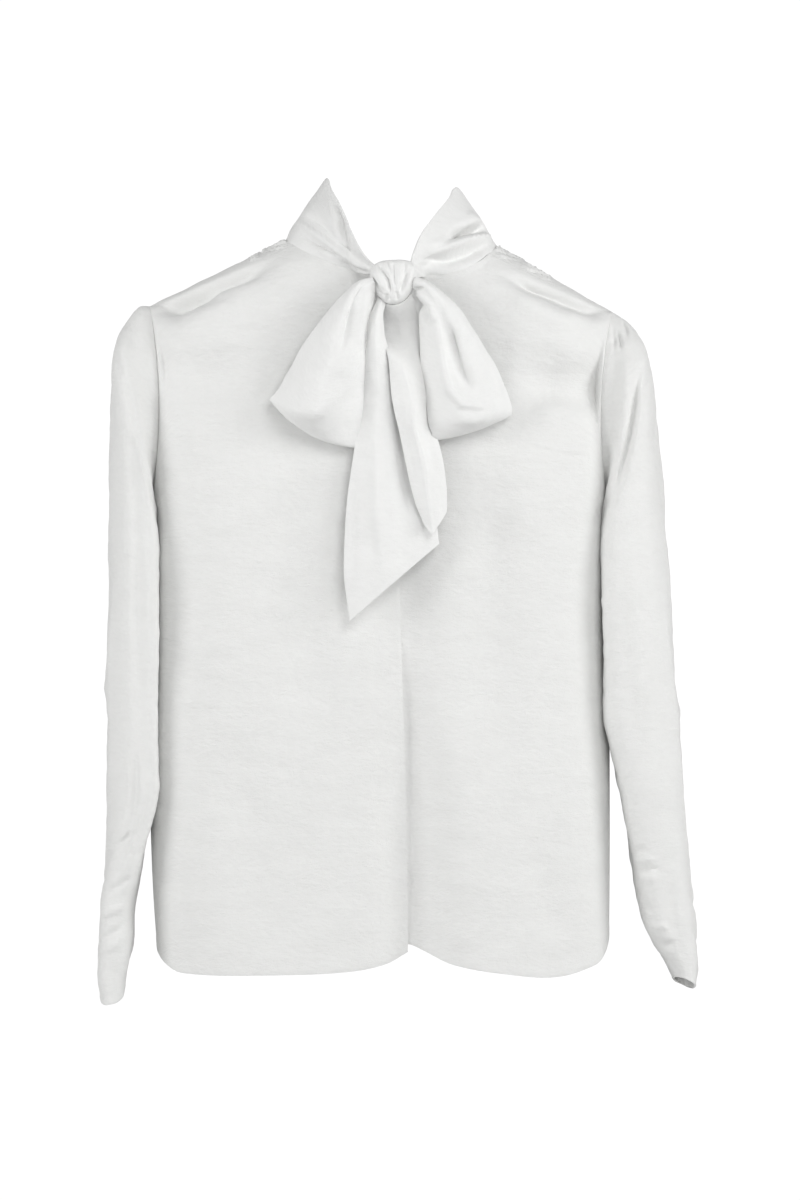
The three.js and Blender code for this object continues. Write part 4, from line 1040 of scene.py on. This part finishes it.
TAIL_FRONT = [
    ([-9, -82, -54], [5, -86, -57], [19, -82, -50]),
    ([-14, -71, -72], [8, -72, -74], [31, -70, -70]),
    ([-12, -71, -88], [9, -73, -92], [33, -69, -92]),
    ([-3, -82, -101], [10, -88, -111], [34, -71, -114]),
    ([1, -86, -138], [17, -91, -138], [35, -71, -132]),
    ([6.5, -86, -165], [20, -91, -165], [36, -73, -160]),
    ([14, -85, -200], [28, -90, -200], [44, -77, -190]),
    ([21.5, -84, -230], [33, -90, -232], [48, -78, -218]),
    ([28, -84, -247], [36, -89, -259], [48, -78, -240]),
]


# %% Laying strips
def strip(table, kind, crease, roots):
    """A grid through the rows of a strip, with the shares of the way along and across it. `crease`
    sharpens its middle, and `roots` are the rows that lie on the knot."""
    v = np.linspace(0, 1, BOW_COLUMNS[kind] + 1)
    rows = []
    for k, (a, m, b) in enumerate(table):
        smooth = parabola(a, m, b, v)
        a, m, b = np.array(a, float), np.array(m, float), np.array(b, float)
        bent = np.where(v[:, None] < 0.5, mix(a, m, v[:, None] * 2), mix(m, b, v[:, None] * 2 - 1))
        row = mix(smooth, bent, crease)
        if k in roots:
            row = np.array([on_knot(p) for p in row])
        rows.append(row)
    count = BOW_ROWS[kind] + 1
    return through(rows, count), np.linspace(0, 1, count)[:, None], v[None, :]


def bow_piece(name, node, grid, u, relief, outward, seed):
    waves = unevenness(grid, 22, 1.0, seed) + unevenness(grid, 8, 0.3, 3)
    relief = (relief + waves * ease(u / 0.1)) * ease(u / 0.02) * ease((1 - u) / 0.02)
    piece = cut_cloth(name, grid, outward, BAND_WALL, 0, relief)
    dress(piece, node, double_painted_lighter=True)


# %% [markdown]
# The loop on the wearer's right is the fuller one: a deep trough runs down from the knot between two
# ridges, and low down the front bulges before it turns under. The other loop has a big hollow in its face
# with a bright rim.

# %% The two loops
LOOP_RIGHT_CREASES = [
    ([(-17, -36), (-25, -42), (-32, -54), (-36, -70), (-39, -86), (-46, -106)], 3.6, -5.0),
    ([(-19, -44), (-25, -60), (-28, -84), (-32, -104)], 4.0, 2.4),
    ([(-34, -92), (-38, -108), (-44, -124)], 7.0, 1.6),
    ([(-60, -84), (-66, -104), (-70, -126)], 9.0, -1.6),
    ([(-104, -136), (-92, -146), (-82, -151), (-71, -153), (-61, -150), (-40, -131), (-26, -112)], 6.5, 2.2),
    ([(-62, -72), (-78, -98), (-94, -124)], 6.0, -0.9),
]
LOOP_LEFT_CREASES = [
    ([(38, -52), (41, -79), (45, -108), (52, -133), (62, -145), (78, -147), (90, -142)], 3.2, 4.4),
    ([(56, -62), (70, -88), (82, -112), (92, -136)], 3.4, 2.2),
    ([(50, -70), (55, -92), (61, -114), (70, -130), (80, -136)], 7.0, -9.0),
    ([(19, -49), (27, -49), (35, -58), (38, -69), (34, -77)], 2.4, 3.0),
    ([(23, -54), (30, -62), (32, -76)], 3.4, -5.0),
    ([(20, -45), (26, -44), (30, -46)], 2.2, -4.0),
    ([(56, -158), (74, -160), (92, -154)], 5.0, 2.0),
]


def tie_loop(side, table, folds, hollow, seed):
    """One loop of the bow. Its face is pushed in by `hollow`, and only its front half has the folds."""
    grid, u, v = strip(table, "loop", 0.15, (0, len(table) - 1))
    grid[..., 1] += hollow * hump(v, 0.5, 0.2) * hump(u, 0.33, 0.14) * ease(u / 0.1)
    relief = creases(grid[..., 0], grid[..., 2], folds) * (1 - ease((u - 0.56) / 0.08))
    outward = FORWARD * (0.5 - u)[..., None]
    bow_piece(f"bow_loop_cloth_{side}", f"bow_loop_{side}", grid, u, relief, outward, seed)


tie_loop("right", LOOP_RIGHT, LOOP_RIGHT_CREASES, 0, 20)
tie_loop("left", LOOP_LEFT, LOOP_LEFT_CREASES, 9, 19)

# %% [markdown]
# The tails hang straight down from under the knot. The front one is folded sharply along its length, so
# that one half catches the light and the other turns away. The back one is wider, with a ridge and a shaded
# valley.

# %% The two tails
TAIL_BACK_CREASES = [
    ([(-12, -130), (-14, -180), (-12, -240), (-6, -300)], 5.0, 2.6),
    ([(6, -150), (10, -200), (18, -250)], 7.0, -3.6),
    ([(-30, -200), (-33, -250), (-34, -310)], 4.0, -1.2),
    ([(30, -236), (36, -262)], 4.0, 1.4),
]
TAIL_FRONT_CREASES = [
    ([(10, -110), (19, -124), (21, -138), (19, -165), (25, -184), (30, -204), (33, -227)], 2.2, 1.6),
    ([(6, -130), (12, -170), (22, -215)], 3.0, -0.9),
    ([(28, -150), (34, -180), (40, -210)], 4.0, -1.2),
]


def hang_tail(place, table, folds, crease, seed):
    """One tail of the bow, folded along its middle as sharply as `crease` says."""
    grid, u, v = strip(table, f"{place} tail", crease, (0,))
    relief = creases(grid[..., 0], grid[..., 2], folds)
    bow_piece(f"bow_tail_cloth_{place}", f"bow_tail_{place}", grid, u, relief, FORWARD, seed)


hang_tail("back", TAIL_BACK, TAIL_BACK_CREASES, 0.2, 19)
hang_tail("front", TAIL_FRONT, TAIL_FRONT_CREASES, 0.75, 20)

# %% [markdown]
# The knot is the band wrapped once round the bow's middle. It is broad and nearly straight at its top edge
# and drawn together below, so its pleats fan out upwards. A round form is reshaped to that and the pleats
# are pressed in.

# %% The knot
KNOT_CREASES = [
    ([(-13, -20), (-8, -28), (-3, -36), (-1, -44), (1, -52)], 1.8, -4.2),
    ([(-17, -26), (-11, -34), (-5, -47)], 2.8, 2.2),
    ([(-17, -34), (-12, -42), (-6, -52)], 1.5, -2.4),
    ([(2, -20), (3, -32), (4, -44)], 1.4, -2.4),
    ([(7, -18), (8, -30), (6, -44)], 1.8, 1.4),
    ([(15, -28), (12, -38), (8, -50)], 1.7, -3.4),
    ([(12, -18), (13, -26), (10, -36)], 1.2, -1.6),
    ([(-4, -18), (-1, -26), (1, -34)], 1.2, -1.8),
    ([(20, -20), (18, -30), (13, -42)], 2.2, 1.6),
    ([(-4, -48), (-2, -56)], 1.6, -2.0),
    ([(5, -46), (6, -55)], 1.6, -2.0),
]
KNOT_BOXY = {"top": 0.62, "low": 0.8}
KNOT_TILT = 2.0


def tie_knot():
    """The knot, boxier in its upper half, which tilts up towards the wearer's left."""
    mesh = bmesh.new()
    bmesh.ops.create_uvsphere(mesh, u_segments=128, v_segments=84, radius=1)
    for vert in mesh.verts:
        dx, dy, dz = vert.co
        boxy = KNOT_BOXY["top"] if dz > 0 else KNOT_BOXY["low"]
        ring = max(1e-6, (1 - dz * dz)) ** 0.5
        swell = ring**boxy / ring if ring > 1e-3 else 0
        x = KNOT["x"] + dx * swell * KNOT["wide"] * (1 + KNOT["taper"] * dz)
        y = KNOT["y"] + dy * swell * KNOT["deep"]
        vert.co = (x, y, KNOT["z"] + dz * KNOT["tall"] + KNOT_TILT * dx * max(dz, 0) ** 2)
    mesh.normal_update()
    co = np.array([vert.co for vert in mesh.verts])
    push = creases(co[:, 0], co[:, 2], KNOT_CREASES) * ease((-(co[:, 1] - KNOT["y"]) + 2) / 8)
    uv = mesh.loops.layers.uv.new("Threads")
    for vert, amount in zip(mesh.verts, push):
        vert.co += vert.normal * float(amount)
    for face in mesh.faces:
        for loop in face.loops:
            loop[uv].uv = (loop.vert.co.z * MM, loop.vert.co.x * MM)
    bmesh.ops.scale(mesh, vec=(MM, MM, MM), verts=mesh.verts)
    return finish("bow_knot_cloth", mesh)


knot = tie_knot()
# painted light: the knot gets the crepe painted a little lighter
knot.data.materials.append(BAND_CREPE_PAINTED_LIGHTER)
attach(knot, "root")
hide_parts("bow_knot")

# %% [markdown]
# ## Light, floor and camera
#
# The photograph was taken level, from far away, against pure white, with soft light from above and in
# front. The blouse hangs as high as a wearer would hold it, so the pale floor lies well below it and out of
# the picture.

# %% Floor
FLOOR_Z = -1.35
FLOOR_RADIUS = 2.5
floor_mesh = bmesh.new()
bmesh.ops.create_circle(floor_mesh, cap_ends=True, segments=96, radius=FLOOR_RADIUS)
bmesh.ops.translate(floor_mesh, vec=(0, 0, FLOOR_Z), verts=floor_mesh.verts)
floor = finish("floor", floor_mesh)
pale = bpy.data.materials.new("Pale floor")
pale.use_nodes = True
plain = pale.node_tree.nodes["Principled BSDF"].inputs
plain["Base Color"].default_value = (0.84, 0.84, 0.84, 1)
plain["Roughness"].default_value = 0.9
floor.data.materials.append(pale)

# %% Camera
PICTURE_HEIGHT = 1.056
PICTURE_MIDDLE = Vector((0.0079, 0, -0.3168))
CAMERA_DISTANCE = 7.0
FILM_HEIGHT = 36
# the picture's height is meant at the front of the cloth, this much nearer than its middle
FRONT_FACE = 0.06
lens = bpy.data.cameras.new("Camera")
lens.sensor_fit = "VERTICAL"
lens.sensor_height = FILM_HEIGHT
lens.lens = FILM_HEIGHT * (CAMERA_DISTANCE - FRONT_FACE) / PICTURE_HEIGHT
lens.clip_end = 30
camera = bpy.data.objects.new("Camera", lens)
bpy.context.scene.collection.objects.link(camera)
camera.location = PICTURE_MIDDLE + Vector((0, -CAMERA_DISTANCE, 0))
camera.rotation_euler = (np.pi / 2, 0, 0)
bpy.context.scene.camera = camera


# %% Light
def soft_light(name, place, aim, size, power):
    """A square soft light that looks at a point. Size is in metres, and power in watts."""
    data = bpy.data.lights.new(name, "AREA")
    data.size = size
    data.energy = power
    lamp = bpy.data.objects.new(name, data)
    bpy.context.scene.collection.objects.link(lamp)
    lamp.location = place
    lamp.rotation_euler = (Vector(aim) - Vector(place)).to_track_quat("-Z", "Y").to_euler()


soft_light("Front light", place=(0.9, -2.2, 1.2), aim=(0, 0, -0.25), size=1.1, power=23)
soft_light("Side light, right", place=(3.0, -1.6, 0.5), aim=(0, 0, -0.3), size=1.6, power=42)
soft_light("Side light, left", place=(-3.0, -1.6, 0.4), aim=(0, 0, -0.3), size=1.6, power=46)

# %% [markdown]
# The rest of the light comes from the studio's walls. Its ceiling is darker, so that whatever faces up,
# such as the shoulders, is a little greyer than the front. The camera itself sees plain white behind the
# blouse.

# %% Studio walls
world = bpy.data.worlds.new("White studio")
bpy.context.scene.world = world
world.use_nodes = True
walls, links = world.node_tree.nodes["Background"], world.node_tree.links
walls.inputs["Color"].default_value = (1, 1, 1, 1)
looking = world.node_tree.nodes.new("ShaderNodeTexCoord")
split = world.node_tree.nodes.new("ShaderNodeSeparateXYZ")
ceiling = world.node_tree.nodes.new("ShaderNodeMapRange")
ceiling.inputs["From Max"].default_value = 0.9
ceiling.inputs["To Min"].default_value = 0.545
ceiling.inputs["To Max"].default_value = 0.24
links.new(looking.outputs["Generated"], split.inputs["Vector"])
links.new(split.outputs["Z"], ceiling.inputs["Value"])
links.new(ceiling.outputs["Result"], walls.inputs["Strength"])
backdrop = world.node_tree.nodes.new("ShaderNodeBackground")
backdrop.inputs["Color"].default_value = (1, 1, 1, 1)
backdrop.inputs["Strength"].default_value = 1.05
seen = world.node_tree.nodes.new("ShaderNodeLightPath")
choose = world.node_tree.nodes.new("ShaderNodeMixShader")
links.new(seen.outputs["Is Camera Ray"], choose.inputs["Fac"])
links.new(walls.outputs["Background"], choose.inputs[1])
links.new(backdrop.outputs["Background"], choose.inputs[2])
links.new(choose.outputs["Shader"], world.node_tree.nodes["World Output"].inputs["Surface"])
bpy.context.scene.view_settings.view_transform = "Standard"
